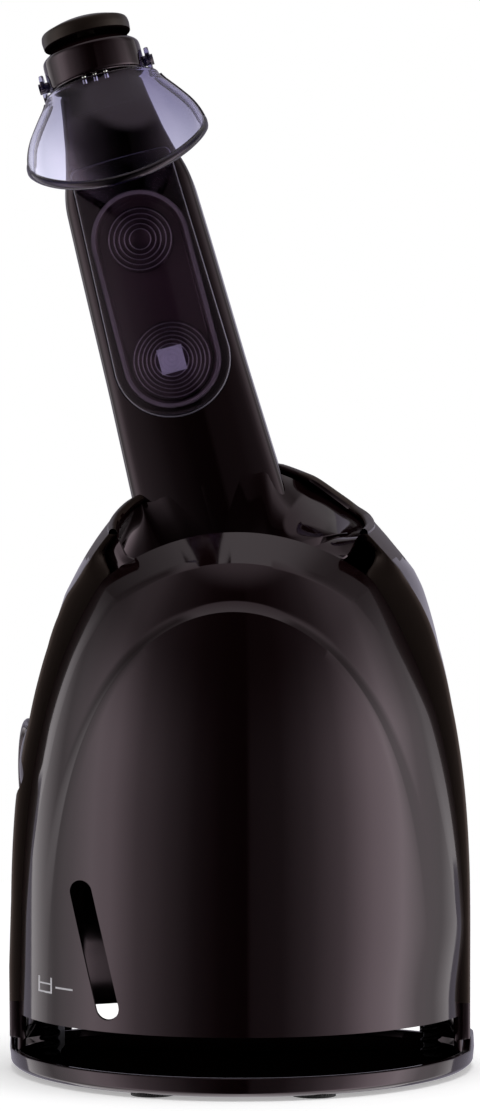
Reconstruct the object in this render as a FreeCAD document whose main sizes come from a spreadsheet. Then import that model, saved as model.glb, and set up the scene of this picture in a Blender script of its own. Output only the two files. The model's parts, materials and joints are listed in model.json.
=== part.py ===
import FreeCAD, Part
import math
import os
import Sketcher

Vector, Rotation, Placement = FreeCAD.Vector, FreeCAD.Rotation, FreeCAD.Placement

doc = FreeCAD.newDocument("CleaningStation")
sheet = doc.addObject("Spreadsheet::Sheet", "Sizes")

# Driving dimensions, in millimetres and degrees. Z is up, the front faces -Y, and the
# origin is the middle of the base on the table.
SIZES = {
    # base dish
    "base_width": 134.0,
    "base_depth": 118.0,
    "plan_centre": 16.0,         # the widest line of the plan lies this far behind the middle
    "foot_height": 1.0,
    "foot_radius": 6.0,
    "foot_recess": 0.6,
    "front_foot_spread": 22.0,
    "front_foot_setback": 13.0,
    "rear_foot_spread": 38.0,
    "rear_foot_setback": 22.0,
    "floor_thickness": 2.6,
    "rim_height": 2.6,
    "rim_wall": 2.2,
    "ear_height": 3.6,
    "ear_wall": 1.1,
    "ear_front": 2.0,
    "ear_back": 36.0,
    # fits
    "gap": 0.3,                  # between pieces that only pass each other
    "running_gap": 0.06,         # radial, in running fits
    # housing
    "housing_inset": 1.5,        # the housing's plan inside the base's plan
    "shell_wall": 2.2,
    "spring_line": 40.0,         # the walls stand upright up to here
    "crown_height": 179.5,       # where the side walls' arch would close
    "back_crown": 222.0,         # the same for the back wall
    "arch_power": 2.5,
    "panel_rise": 5.0,           # how much higher the raised front panel's own crown is
    "panel_step": 0.3,           # how far the panel stands out at its foot
    "front_bottom": 17.0,
    "notch_top": 13.5,
    "notch_inset": 1.0,          # the notch is this much narrower than the way between the columns
    "rim_reach": 120.0,          # the rear housing's sides run on to its front rim at this reach
    "rim_bottom_gap": 0.5,
    "seam_foot": -5.0,           # Y of the seam between the shells at the front shell's foot
    "seam_lean": 6.0,
    "lip_height": 153.5,
    "lip_radius": 60.0,
    "lip_depth": 22.0,
    "lip_bevel": 0.65,
    "panel_top": 132.0,
    "panel_foot_half": 60.0,
    "panel_head_half": 38.0,
    "panel_corner": 35.0,
    "slot_width": 6.6,
    "slot_length": 32.0,
    "slot_lean": 14.0,
    "slot_x": -38.3,
    "slot_z": 39.0,
    # chassis and columns
    "lift_travel": 42.0,
    "roof_bottom": 64.0,
    "roof_thickness": 3.0,
    "column_setback": 14.5,      # from the base's side to the column's inner face
    "column_thick": 4.0,
    "column_front": 6.0,
    "column_depth": 22.0,
    "sleeve_hold": 16.0,         # how much of a sleeve is still on its column when lifted
    "sleeve_wall": 1.5,
    "sleeve_foot": 20.0,
    "lift_spring_radius": 2.4,
    "lift_spring_wire": 0.7,
    "lift_spring_turns": 5.0,
    "lift_spring_y": 2.4,
    "spring_cup_wall": 0.6,
    "spring_cup_height": 3.0,
    "cup_web_half": 1.5,
    # latch and lift button
    "button_height": 86.5,
    "button_y": 2.0,
    "button_turn": 12.0,
    "button_radius": 11.2,
    "button_dome": 2.2,
    "button_travel": 2.5,
    "button_stem": 1.6,
    "button_disc": 2.0,          # the button's rim under its dome
    "button_sink": 0.4,          # of the dome's foot in the bezel
    "button_spring_wire": 0.7,
    "button_spring_turns": 2.0,
    "button_spring_length": 3.2,
    "bracket_clear": 2.1,        # outside the way between the columns
    "bracket_thick": 1.6,
    "bracket_front": 9.0,
    "bracket_back": 12.0,
    "bracket_rise": 9.0,         # above the button's centre
    "lift_stem_length": 9.6,
    "bezel_radius": 14.0,
    "bezel_depth": 4.0,
    "bezel_proud": 0.8,
    "latch_setback": 5.0,        # behind the column's front
    "latch_depth": 12.0,
    "hook_clear": 3.0,           # above the roof
    "latch_thick": 2.0,
    "latch_arm_front": 5.0,
    "latch_arm_half": 5.0,
    "latch_release": 1.0,        # what is left of the button's travel once the hook is clear
    "hook_height": 2.5,
    # arm, in its own leaning frame
    "arm_x": -12.3,
    "arm_y": 32.0,
    "arm_z": 172.0,
    "arm_lean": 15.0,
    "arm_back_lean": 5.0,
    "arm_front": 13.0,
    "arm_foot": 60.0,
    "arm_shoulder": 80.0,
    "arm_top": 117.0,
    "arm_foot_half": 24.0,
    "arm_mid_half": 21.2,
    "arm_shoulder_half": 19.0,
    "arm_top_half": 12.8,
    "arm_foot_back": 13.0,
    "arm_mid_back": 14.0,
    "arm_shoulder_back": 12.0,
    "arm_top_back": 8.0,
    "arm_corner": 4.0,
    "arm_wall": 2.2,
    # window and lights in the arm
    "window_wall": 1.6,
    "window_low": 32.6,
    "window_low_radius": 16.7,
    "window_roundness": 0.95,    # the corner radius of its foot, as a share of its half width
    "window_high": 94.0,
    "window_high_half": 14.4,
    "recess_radius": 14.6,
    "recess_high": 69.6,
    "frame_wall": 1.0,
    "frame_depth": 5.0,
    "frame_gap": 0.1,            # between the window and the tray behind it
    "lens_thickness": 1.4,
    "lower_lens_radius": 11.8,
    "upper_lens_radius": 9.8,
    "guide_side": 7.4,
    "guide_thickness": 1.8,
    "ring_step": 0.2,            # of the lens radius, from one ring to the next
    "ring_first": 0.92,
    "ring_width": 0.5,
    "ring_depth": 0.45,
    "board_thickness": 1.6,
    "light_board_half": 9.0,
    "light_board_gap": 1.2,
    "light_board_margin": 10.0,
    "lamp_side": 3.2,
    "lamp_height": 1.1,
    "arm_screw_low": 13.0,
    "arm_screw_high": 74.0,
    "arm_screw_length": 8.0,
    # wash bowl, in the arm's frame
    "bowl_wall": 1.6,
    "bowl_gap": 0.4,
    "bowl_foot": 64.0,
    "bowl_foot_half": 22.0,
    "bowl_mouth_half": 44.0,
    "bowl_foot_reach": 12.0,
    "bowl_mouth_reach": 18.5,
    "drain_radius": 4.0,
    "drain_u": -12.0,
    # head of the arm
    "collar_radius": 14.6,
    "collar_height": 9.0,
    "collar_dome": 5.0,
    "collar_wall": 2.0,
    "head_forward": 12.0,
    "button_cap_radius": 13.2,
    "button_cap_thick": 3.8,
    "button_cap_gap": 2.0,
    "start_travel": 1.5,
    "start_stem": 2.4,
    "start_stem_drop": 3.0,      # of the stem's foot below the collar's side wall
    "flange_width": 1.6,
    "flange_thickness": 1.2,
    "start_spring_wire": 0.6,
    "start_spring_turns": 3.0,
    "switch_half": 1.6,
    "contact_radius": 0.8,
    "contact_pitch": 3.2,
    "contact_forward": 10.0,
    "contact_proud": 2.2,
    "contact_travel": 1.2,
    "contact_spring_solid": 2.6,
    "contact_spring_wire": 0.2,
    "contact_spring_turns": 5.0,
    "contact_head": 0.6,         # the pin head's thickness
    "contact_head_step": 0.4,
    "contact_plate": 3.0,
    "block_half": 9.0,
    "block_drop": 9.0,
    "block_front": 7.0,
    "hood_neck": 17.4,
    "hood_wall": 1.5,
    "hood_waist_half": 24.4,
    "hood_waist_reach": 24.0,
    "hood_waist": 16.0,
    "hood_hem_half": 28.5,
    "hood_hem_reach": 30.0,
    "hood_hem": 35.5,
    "hood_side": 19.0,
    "hood_pivot": 2.5,
    "pivot_radius": 1.6,
    "ear_ring": 2.2,             # of the hood's ears round their pins
    "strap_front": 6.5,
    "strap_back": 1.5,
    "strap_low": 5.0,
    "hem_lift": 0.6,
    "throat_depth": 3.0,
    # pump and drain, under the bowl
    "pump_x": 22.0,
    "pump_y": -2.0,
    "pump_radius": 15.0,
    "pump_wall": 2.0,
    "pump_height": 13.0,
    "cover_thickness": 2.0,
    "impeller_radius": 11.0,
    "impeller_height": 6.0,
    "impeller_lift": 1.5,
    "impeller_hub": 2.0,         # thickness of the hub round the shaft
    "impeller_web": 1.4,
    "blade_half": 0.6,
    "port_lift": 0.6,
    "motor_radius": 12.0,
    "motor_height": 20.0,
    "shaft_radius": 1.5,
    "shaft_hold": 8.0,           # of the shaft in the motor
    "spike_length": 14.0,
    "spike_radius": 3.0,
    "tube_radius": 2.6,
    "tube_wall": 0.8,
    "spike_point": 4.0,
    "spike_edge": 0.4,
    "tube_drop": 4.2,            # from the drain hole to the tube's top
    "seal_wall": 2.0,
    "seal_height": 3.0,
    "riser_run": 7.5,
    "riser_height": 44.0,
    # electrics
    "board_x": -22.0,
    "board_setback": 19.0,       # from the back of the base
    "board_width": 36.0,
    "board_height": 34.0,
    "board_post_half": 2.0,
    "board_post_inset": 3.0,
    "board_post_height": 8.0,
    "relay_side": 12.0,
    "relay_depth": 9.0,
    "relay_x": -7.0,             # from the board's middle
    "relay_lift": 14.0,
    "chip_width": 10.0,
    "chip_height": 8.0,
    "chip_depth": 1.6,
    "chip_x": 8.0,
    "chip_lift": 22.0,
    "capacitor_radius": 4.0,
    "capacitor_length": 10.0,
    "capacitor_x": 7.0,
    "capacitor_lift": 15.0,
    "socket_x": 12.0,
    "socket_width": 22.0,
    "socket_height": 16.0,
    "socket_setback": 7.0,       # from the back of the base
    "socket_depth": 13.0,
    "nose_length": 3.6,
    "nose_width": 17.0,
    "nose_height": 10.0,
    "inlet_width": 13.6,
    "inlet_height": 7.0,
    "inlet_depth": 13.5,
    "socket_pin_radius": 0.9,
    "socket_pin_pitch": 6.0,
    "socket_pin_length": 6.0,
    "screw_radius": 1.5,
    "screw_head": 2.8,
    "screw_head_height": 1.6,
    "screw_gap": 0.1,
    "screw_hold": 3.0,           # of a screw above the roof that it holds
    "screw_left": 30.0,
    "screw_right": 34.0,
    "screw_front": 22.0,
    "screw_back": 29.0,
}

for row, (word, number) in enumerate(SIZES.items(), start=1):
    sheet.set("A%d" % row, word)
    sheet.set("B%d" % row, str(number))
    sheet.setAlias("B%d" % row, word)
doc.recompute()


class Size:
    """A size that knows both its number and the sheet formula that gives it."""

    def __init__(self, number, formula):
        self.number = float(number)
        self.formula = str(formula)

    def join(self, sign, other, number):
        return Size(number, "(%s %s %s)" % (self.formula, sign, other.formula))

    def __add__(self, other):
        other = as_size(other)
        return self.join("+", other, self.number + other.number)

    def __sub__(self, other):
        other = as_size(other)
        return self.join("-", other, self.number - other.number)

    def __mul__(self, other):
        other = as_size(other)
        return self.join("*", other, self.number * other.number)

    def __truediv__(self, other):
        other = as_size(other)
        return self.join("/", other, self.number / other.number)

    def __pow__(self, other):
        other = as_size(other)
        return self.join("^", other, self.number ** other.number)

    def __neg__(self):
        return Size(-self.number, "(0 - %s)" % self.formula)

    def __radd__(self, other):
        return as_size(other) + self

    def __rsub__(self, other):
        return as_size(other) - self

    def __rmul__(self, other):
        return as_size(other) * self


def as_size(value):
    """Any number as a Size."""
    return value if isinstance(value, Size) else Size(value, "(%.9g)" % value)


def root(size):
    """The square root of a Size."""
    return Size(math.sqrt(size.number), "sqrt(%s)" % size.formula)


def larger(one, other):
    """The larger of two Sizes."""
    return Size(max(one.number, other.number), "max(%s; %s)" % (one.formula, other.formula))


def smaller(one, other):
    """The smaller of two Sizes."""
    return Size(min(one.number, other.number), "min(%s; %s)" % (one.formula, other.formula))


class Names:
    """The sheet's sizes, read by name."""

    def __getattr__(self, word):
        return Size(sheet.get(word), "Sizes." + word)


size = Names()
NO_TURN = Rotation()
WORLD = Placement()


def bind(thing, prop, value):
    """Ties one property to its sheet formula."""
    value = as_size(value)
    thing.setExpression(prop, value.formula)


def put(thing, at, turn=NO_TURN, frame=WORLD):
    """Places a thing at a point of a frame, turned about that point."""
    point = [as_size(value) for value in at]
    spot = Placement(Vector(*[value.number for value in point]), turn)
    thing.Placement = frame.multiply(spot)
    if frame is WORLD:
        for axis, value in zip("xyz", point):
            bind(thing, "Placement.Base." + axis, value)
    return thing


def primitive(kind, name, at=(0, 0, 0), turn=NO_TURN, frame=WORLD, **sizes):
    """A Part primitive with its sizes bound to the sheet."""
    thing = doc.addObject("Part::" + kind, name)
    for prop, value in sizes.items():
        bind(thing, prop, value)
    return put(thing, at, turn, frame)


def box(name, low, high, frame=WORLD):
    """A box between two corners."""
    low = [as_size(value) for value in low]
    high = [as_size(value) for value in high]
    length, width, height = [top - bottom for bottom, top in zip(low, high)]
    return primitive("Box", name, low, frame=frame, Length=length, Width=width, Height=height)


def rod(name, radius, length, at, turn=NO_TURN, frame=WORLD):
    """A cylinder that starts at a point and runs along the turned Z axis."""
    return primitive("Cylinder", name, at, turn, frame, Radius=radius, Height=length)


def cut(name, base, *tools):
    """The base without the tools."""
    for number, tool in enumerate(tools):
        result = doc.addObject("Part::Cut", name if tool is tools[-1] else "%s_%d" % (name, number))
        result.Base = base
        result.Tool = tool
        base = result
    return base


def join(name, *things):
    """Several things made one."""
    result = doc.addObject("Part::MultiFuse", name)
    result.Shapes = list(things)
    return result


def group(name, *things):
    """Separate solids kept together under one name."""
    result = doc.addObject("Part::Compound", name)
    result.Links = list(things)
    return result


def common(name, *things):
    """What the things share."""
    result = doc.addObject("Part::MultiCommon", name)
    result.Shapes = list(things)
    return result


# ---- sketches and bodies ----

def body(name, frame=WORLD):
    """An empty PartDesign body."""
    result = doc.addObject("PartDesign::Body", name)
    result.Placement = frame
    return result


def sketch(owner, plane, lift=0):
    """An empty sketch on one of the body's own planes, lifted along the plane's normal."""
    result = owner.newObject("Sketcher::SketchObject", owner.Name + "_sketch")
    face = [item for item in owner.Origin.OriginFeatures if item.Role == plane][0]
    result.AttachmentSupport = [(face, "")]
    result.MapMode = "FlatFace"
    lift = as_size(lift)
    result.AttachmentOffset = Placement(Vector(0, 0, lift.number), NO_TURN)
    bind(result, "AttachmentOffset.Base.z", lift)
    return result


def pin_point(drawing, shape, end, x, y):
    """Holds one point of a sketch at its distances from the sketch's origin."""
    for kind, value in (("DistanceX", x), ("DistanceY", y)):
        rule = drawing.addConstraint(Sketcher.Constraint(kind, -1, 1, shape, end, value.number))
        bind(drawing, "Constraints[%d]" % rule, value)


def outline(drawing, *corners):
    """A closed outline of straight lines; a third number in a corner rounds it."""
    spots = [[as_size(value) for value in corner] for corner in corners]
    count = len(spots)
    points = [Vector(spot[0].number, spot[1].number, 0) for spot in spots]
    starts, ends = [], []
    for index, spot in enumerate(spots):
        before = (points[index - 1] - points[index])
        after = (points[(index + 1) % count] - points[index])
        reach = 0.0
        if len(spot) > 2:
            reach = spot[2].number / math.tan(before.getAngle(after) / 2)
        starts.append(points[index] + before.normalize() * reach)
        ends.append(points[index] + after.normalize() * reach)
    for index in range(count):
        drawing.addGeometry(Part.LineSegment(ends[index], starts[(index + 1) % count]), False)
    for index, spot in enumerate(spots):
        line_in, line_out = (index - 1) % count, index
        if len(spot) < 3:
            drawing.addConstraint(Sketcher.Constraint("Coincident", line_in, 2, line_out, 1))
            pin_point(drawing, line_out, 1, spot[0], spot[1])
            continue
        to_corner = (points[index] - starts[index]).normalize()
        side = Vector(-to_corner.y, to_corner.x, 0)
        if side.dot(ends[index] - starts[index]) < 0:
            side = side * -1
        centre = starts[index] + side * spot[2].number
        middle = centre + (points[index] - centre).normalize() * spot[2].number
        arc = drawing.addGeometry(Part.Arc(starts[index], middle, ends[index]), False)
        turned_left = side.dot(Vector(-to_corner.y, to_corner.x, 0)) > 0
        first, last = (1, 2) if turned_left else (2, 1)
        drawing.addConstraint(Sketcher.Constraint("Tangent", line_in, 2, arc, first))
        drawing.addConstraint(Sketcher.Constraint("Tangent", line_out, 1, arc, last))
        rule = drawing.addConstraint(Sketcher.Constraint("Radius", arc, spot[2].number))
        bind(drawing, "Constraints[%d]" % rule, spot[2])
        corner = drawing.addGeometry(Part.Point(points[index]), True)
        pin_point(drawing, corner, 1, spot[0], spot[1])
        for line in (line_in, line_out):
            drawing.addConstraint(Sketcher.Constraint("PointOnObject", corner, 1, line))


def pad(owner, drawing, length, both_ways=False):
    """The sketch raised to a solid along its normal."""
    result = owner.newObject("PartDesign::Pad", owner.Name + "_pad")
    result.Profile = drawing
    result.Midplane = both_ways
    bind(result, "Length", length)
    return result


def plate(name, plane, lift, length, *corners, frame=WORLD, both_ways=False):
    """A body padded from one outline."""
    owner = body(name, frame)
    drawing = sketch(owner, plane, lift)
    outline(drawing, *corners)
    pad(owner, drawing, length, both_ways)
    return owner


def turned(name, *corners, frame=WORLD):
    """A body of revolution about its own Z axis, from corners given as (radius, height)."""
    owner = body(name, frame)
    drawing = sketch(owner, "XZ_Plane")
    outline(drawing, *corners)
    spin = owner.newObject("PartDesign::Revolution", name + "_spin")
    spin.Profile = drawing
    spin.ReferenceAxis = (drawing, ["V_Axis"])
    spin.Angle = 360
    return owner


def ellipse_loft(name, sections, frame=WORLD):
    """A solid through ellipses; each section is (half along X, half along Y, x, y, z)."""
    rings = []
    for number, (half_x, half_y, x, y, z) in enumerate(sections):
        half_x, half_y = as_size(half_x), as_size(half_y)
        turn = NO_TURN if half_x.number >= half_y.number else Rotation(Vector(0, 0, 1), 90)
        rings.append(primitive("Ellipse", "%s_ring_%d" % (name, number), (x, y, z), turn, frame,
                               MajorRadius=larger(half_x, half_y), MinorRadius=smaller(half_x, half_y)))
    result = doc.addObject("Part::Loft", name)
    result.Sections = rings
    result.Solid = True
    return result


def spring(name, radius, wire, length, turns, at, turn=NO_TURN, frame=WORLD):
    """A coil spring whose wire's centre starts at the given point's radius."""
    core = primitive("Helix", name + "_path", at, turn, frame, Pitch=length / turns, Height=length,
                     Radius=radius)
    across = Rotation(Vector(1, 0, 0), 90)
    point = [as_size(value) for value in at]
    seat = frame.multiply(Placement(Vector(*[value.number for value in point]), turn))
    section = doc.addObject("Part::Circle", name + "_wire")
    bind(section, "Radius", wire)
    section.Placement = seat.multiply(Placement(Vector(as_size(radius).number, 0, 0), across))
    sweep = doc.addObject("Part::Sweep", name)
    sweep.Sections = [section]
    sweep.Spine = (core, ["Edge1"])
    sweep.Solid = True
    sweep.Frenet = True
    return sweep


nodes = []


def keep(thing, name=None):
    """Marks a thing as one of the pieces that are written out."""
    thing.Label = name or thing.Name
    nodes.append(thing)
    return thing


X, Y, Z = Vector(1, 0, 0), Vector(0, 1, 0), Vector(0, 0, 1)
RING_COUNT, LAMP_COUNT, BLADE_COUNT = 4, 5, 6
ALONG_X = Rotation(Y, 90)
ALONG_Y = Rotation(X, -90)
TOWARDS_FRONT = Rotation(X, 90)

# ---- the plan and the dome ----
# Plan: an ellipse's front half and a flatter ellipse's back half meet at the widest line.

FAR = 200
half_base = size.base_width / 2
front_reach = size.base_depth / 2 + size.plan_centre
back_reach = size.base_depth / 2 - size.plan_centre
deck = size.foot_height + size.floor_thickness
rim_top = deck + size.rim_height
ear_top = rim_top + size.ear_height
column_inner = half_base - size.column_setback


def halves(name, front, back):
    """Joins the front of one solid and the back of another at the plan's widest line."""
    ahead = box(name + "_ahead", (-FAR, -FAR, -FAR), (FAR, size.plan_centre, 2 * FAR))
    behind = box(name + "_behind", (-FAR, size.plan_centre, -FAR), (FAR, FAR, 2 * FAR))
    return join(name, common(name + "_front_half", front, ahead),
                common(name + "_back_half", back, behind))


def plan_prism(name, inset, bottom, top):
    """An upright solid on the plan, its sides moved in by the inset."""
    solids = []
    for side, reach in (("front", front_reach), ("back", back_reach)):
        sections = [(half_base - inset, reach - inset, 0, size.plan_centre, height)
                    for height in (bottom, top)]
        solids.append(ellipse_loft("%s_%s" % (name, side), sections))
    return halves(name, *solids)


def dome(name, inset, bottom, rise=0, ahead=None):
    """The arched solid: each level is the plan shrunk by root(1 - t ^ power), t from 0 to 1."""
    solids = []
    steps = [0, 0.06] + [1 - (1 - step / 10) ** 2 for step in range(1, 9)]
    for side, reach, crown in (("front", ahead or front_reach, size.crown_height + rise),
                               ("back", back_reach, size.back_crown)):
        top = size.crown_height + rise - inset
        bottom = as_size(bottom)
        sections = [(half_base - inset, reach - inset, 0, size.plan_centre, level)
                    for level in (bottom, (bottom + size.spring_line) / 2, size.spring_line - 4)]
        for step in steps:
            height = size.spring_line + (top - size.spring_line) * step
            narrow = root(1 - as_size(step) ** size.arch_power)
            share = (height - size.spring_line) / (crown - inset - size.spring_line)
            depth = root(1 - share ** size.arch_power) if step else as_size(1)
            sections.append(((half_base - inset) * narrow, (reach - inset) * depth, 0,
                             size.plan_centre, height))
        solids.append(ellipse_loft("%s_%s" % (name, side), sections))
    return halves(name, *solids)


def dome_half_width(y, z):
    """Half the outer dome's width at a place, worked out from the same arch."""
    values = SIZES
    share = max(0.0, (z - values["spring_line"]) / (values["crown_height"] - values["spring_line"]
                                                   - values["housing_inset"]))
    narrow = math.sqrt(1 - share ** values["arch_power"])
    reach = front_reach if y < values["plan_centre"] else back_reach
    depth = (reach.number - values["housing_inset"]) * narrow
    width = (half_base.number - values["housing_inset"]) * narrow
    return width * math.sqrt(1 - ((y - values["plan_centre"]) / depth) ** 2)


# ---- base ----

def make_base():
    """The dish with its rim and side ears, its feet and its two columns."""
    dish = plan_prism("dish", 0, size.foot_height, rim_top)
    well = plan_prism("well", size.rim_wall, deck, rim_top + 1)
    ear_outer = plan_prism("ear_outer", 0, rim_top - 1, ear_top)
    ear_inner = plan_prism("ear_inner", size.ear_wall, rim_top - 2, ear_top + 1)
    ear_span = box("ear_span", (-FAR, size.ear_front, 0), (FAR, size.ear_back, FAR))
    ears = common("ears", cut("ear_wall_ring", ear_outer, ear_inner), ear_span)
    tray = join("tray_body", cut("tray_dish", dish, well), ears)
    spots = []
    for side in (-1, 1):
        spots.append((size.front_foot_spread * side, -size.base_depth / 2 + size.front_foot_setback))
        spots.append((size.rear_foot_spread * side, size.base_depth / 2 - size.rear_foot_setback))
    feet, seats = [], []
    for number, (x, y) in enumerate(spots):
        height = size.foot_height + size.foot_recess
        feet.append(rod("foot_%d" % number, size.foot_radius, height, (x, y, 0)))
        seats.append(rod("foot_seat_%d" % number, size.foot_radius + size.gap, height, (x, y, 0)))
    keep(cut("base_tray", tray, *seats))
    keep(group("rubber_feet", *feet))


def column_box(name, side, grow, bottom, top):
    """The column's block on one side, grown all round."""
    inner, outer = column_inner - grow, column_inner + size.column_thick + grow
    across = (-outer, -inner) if side < 0 else (inner, outer)
    back = size.column_front + size.column_depth + grow
    return box(name, (across[0], size.column_front - grow, bottom), (across[1], back, top))


def make_columns():
    """Two rails that stand on the deck; the left one has the groove that the latch hook runs in."""
    for side, word in ((-1, "left"), (1, "right")):
        name = "guide_column_" + word
        rail = column_box(name + "_rail", side, 0, deck, column_top)
        if side < 0:
            low = hook_bottom - size.gap
            notch = box("latch_groove", (-column_inner - hook_reach - size.gap * 2,
                                        latch_front - size.gap * 3, low),
                        (-column_inner + 1, latch_front + size.latch_depth + size.gap * 3,
                         column_top + 1))
            rail = cut("grooved_rail", rail, notch)
        keep(rail, name)


# ---- chassis ----

roof_top = size.roof_bottom + size.roof_thickness
board_y = size.base_depth / 2 - size.board_setback
socket_back = size.base_depth / 2 - size.socket_setback
column_top = size.sleeve_foot + size.lift_travel + size.sleeve_hold
inside = size.housing_inset + size.shell_wall + size.gap
latch_front = size.column_front + size.latch_setback
hook_bottom = roof_top + size.hook_clear
hook_reach = size.button_travel - size.latch_release
port_z = roof_top + size.pump_wall + size.tube_radius + size.port_lift


def make_chassis():
    """The roof of the cartridge bay with the sleeves that run on the columns."""
    roof = plan_prism("roof_plan", inside + 1, size.roof_bottom, roof_top)
    adds, cuts = [], []
    for side in (-1, 1):
        word = "left" if side < 0 else "right"
        adds.append(column_box("sleeve_" + word, side, size.sleeve_wall + size.gap,
                               size.sleeve_foot, roof_top - 1))
        cuts.append(column_box("sleeve_bore_" + word, side, size.gap, 0, FAR))
        spring_x = (column_inner + size.column_thick / 2) * side
        cup = size.lift_spring_radius + size.lift_spring_wire + size.spring_cup_wall
        cup_top = size.sleeve_foot + size.spring_cup_height
        adds.append(rod("spring_cup_" + word, cup, size.spring_cup_height,
                        (spring_x, size.lift_spring_y, size.sleeve_foot)))
        adds.append(box("cup_web_" + word,
                        (spring_x - size.cup_web_half, size.lift_spring_y, size.sleeve_foot),
                        (spring_x + size.cup_web_half, size.column_front - size.gap, cup_top)))
        length = size.sleeve_foot - deck - size.gap * 2
        keep(spring("lift_spring_" + word, size.lift_spring_radius, size.lift_spring_wire,
                    length - 2 * size.lift_spring_wire, size.lift_spring_turns,
                    (spring_x, size.lift_spring_y, deck + size.lift_spring_wire + size.gap)))
    bracket_out = -column_inner - size.bracket_clear
    bracket_in = bracket_out + size.bracket_thick
    step = column_top + size.gap * 3
    bracket_low = box("bracket_low", (bracket_out, -size.bracket_front, roof_top - 1),
                      (bracket_in, size.column_front - size.sleeve_wall - size.gap, step))
    bracket_high = box("bracket_high", (bracket_out, -size.bracket_front, step),
                       (bracket_in, size.bracket_back, size.button_height + size.bracket_rise))
    adds += [bracket_low, bracket_high]
    for side in (-1, 1):
        post_x = size.board_x + (size.board_width / 2 - size.board_post_inset) * side
        adds.append(box("board_post_%d" % (side + 1),
                        (post_x - size.board_post_half, board_y - size.board_post_inset, roof_top - 1),
                        (post_x + size.board_post_half, board_y, roof_top + size.board_post_height)))
    cuts.append(rod("button_way", size.button_stem + size.gap * 2, 40, (0, 0, -30), frame=BUTTON))
    cuts.append(rod("intake_way", size.spike_radius, 10, (size.pump_x, size.pump_y, size.roof_bottom - 2)))
    cuts.append(rod("drain_way", size.spike_radius, 10, (*drain_spot[:2], size.roof_bottom - 2)))
    for number, (x, y) in enumerate(screw_spots):
        cuts.append(rod("screw_way_%d" % number, size.screw_radius + size.screw_gap, 10,
                        (x, y, size.roof_bottom - 2)))
    keep(cut("chassis", join("chassis_body", roof, *adds), *cuts))


# ---- frames of the leaning arm, its head and the lift button ----

LEAN = Rotation(Y, -SIZES["arm_lean"]).multiply(Rotation(X, -SIZES["arm_back_lean"]))
ARM = Placement(Vector(SIZES["arm_x"], SIZES["arm_y"], SIZES["arm_z"]), LEAN)
HEAD = ARM.multiply(Placement(Vector(0, -SIZES["head_forward"], SIZES["arm_top"] + SIZES["gap"]), NO_TURN))
BUTTON = Placement(Vector(-dome_half_width(SIZES["button_y"], SIZES["button_height"]),
                          SIZES["button_y"], SIZES["button_height"]),
                   Rotation(Z, 180 + SIZES["button_turn"]).multiply(ALONG_X))

bowl_back = -size.arm_front
drain_point = ARM.multVec(Vector(SIZES["drain_u"], bowl_back.number - SIZES["bowl_foot_reach"],
                                 -SIZES["bowl_foot"]))
drain_spot = (drain_point.x, drain_point.y, drain_point.z)
screw_spots = [(x, y) for x in (-size.screw_left, size.screw_right)
               for y in (-size.screw_front, size.screw_back)]


# ---- wash bowl ----

def bowl_solid(name, grow):
    """The bowl's space: ellipses along the arm with a straight back, grown all round."""
    reach_foot, reach_mouth = size.bowl_foot_reach, size.bowl_mouth_reach
    mid_half = (size.bowl_foot_half + size.bowl_mouth_half) / 2
    mid_reach = (reach_foot + reach_mouth) / 2
    levels = [(size.bowl_foot_half, reach_foot, -size.bowl_foot - grow),
              (mid_half - 2, mid_reach, -size.bowl_foot * 0.78),
              (size.bowl_mouth_half - 4, reach_mouth, -size.bowl_foot * 0.38),
              (size.bowl_mouth_half, reach_mouth, as_size(12)),
              (size.bowl_mouth_half, reach_mouth, as_size(40))]
    sections = [(half + grow, reach + grow, 0, bowl_back - reach, level) for half, reach, level in levels]
    return ellipse_loft(name, sections, ARM)


def make_bowl():
    """The bowl, trimmed to the dome, with its drain."""
    outer = bowl_solid("bowl_outer", size.bowl_wall)
    inner = bowl_solid("bowl_inner", 0)
    trim = dome("bowl_trim", size.housing_inset + size.gap, 30)
    lip = lip_former("bowl_lip", size.gap * 2)
    drain_hole = rod("drain_hole", size.drain_radius, 12, (*drain_spot[:2], drain_spot[2] - 6))
    arm_way = arm_solid("bowl_arm_way", size.gap)
    shell = cut("bowl_shell", outer, inner, drain_hole, arm_way)
    ahead = common("bowl_ahead", shell, trim, lip)
    keep(ahead, "wash_bowl")


def lip_former(name, inset):
    """A drum along Y whose front bevel gives the front lip its slope; it cuts the lip's height."""
    owner = body(name, Placement(Vector(0, 0, SIZES["lip_height"] - SIZES["lip_radius"]), NO_TURN))
    drawing = sketch(owner, "XY_Plane")
    radius = size.lip_radius - inset
    front = as_size(70)
    outline(drawing, (0, -front), (radius - (front - size.lip_depth) * size.lip_bevel, -front),
            (radius, -size.lip_depth), (radius, -15), (FAR, -15), (FAR, 80), (0, 80))
    spin = owner.newObject("PartDesign::Revolution", name + "_spin")
    spin.Profile = drawing
    spin.ReferenceAxis = (drawing, ["V_Axis"])
    spin.Angle = 360
    wide = box(name + "_wide", (-FAR, -FAR, -FAR), (FAR, FAR, size.lip_height - size.lip_radius))
    return join(name + "_all", owner, wide)


# ---- shells ----

def seam_y(z):
    """Y of the seam at a height."""
    slope = math.tan(math.radians(SIZES["seam_lean"]))
    return size.seam_foot - (as_size(z) - size.front_bottom) * slope


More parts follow.
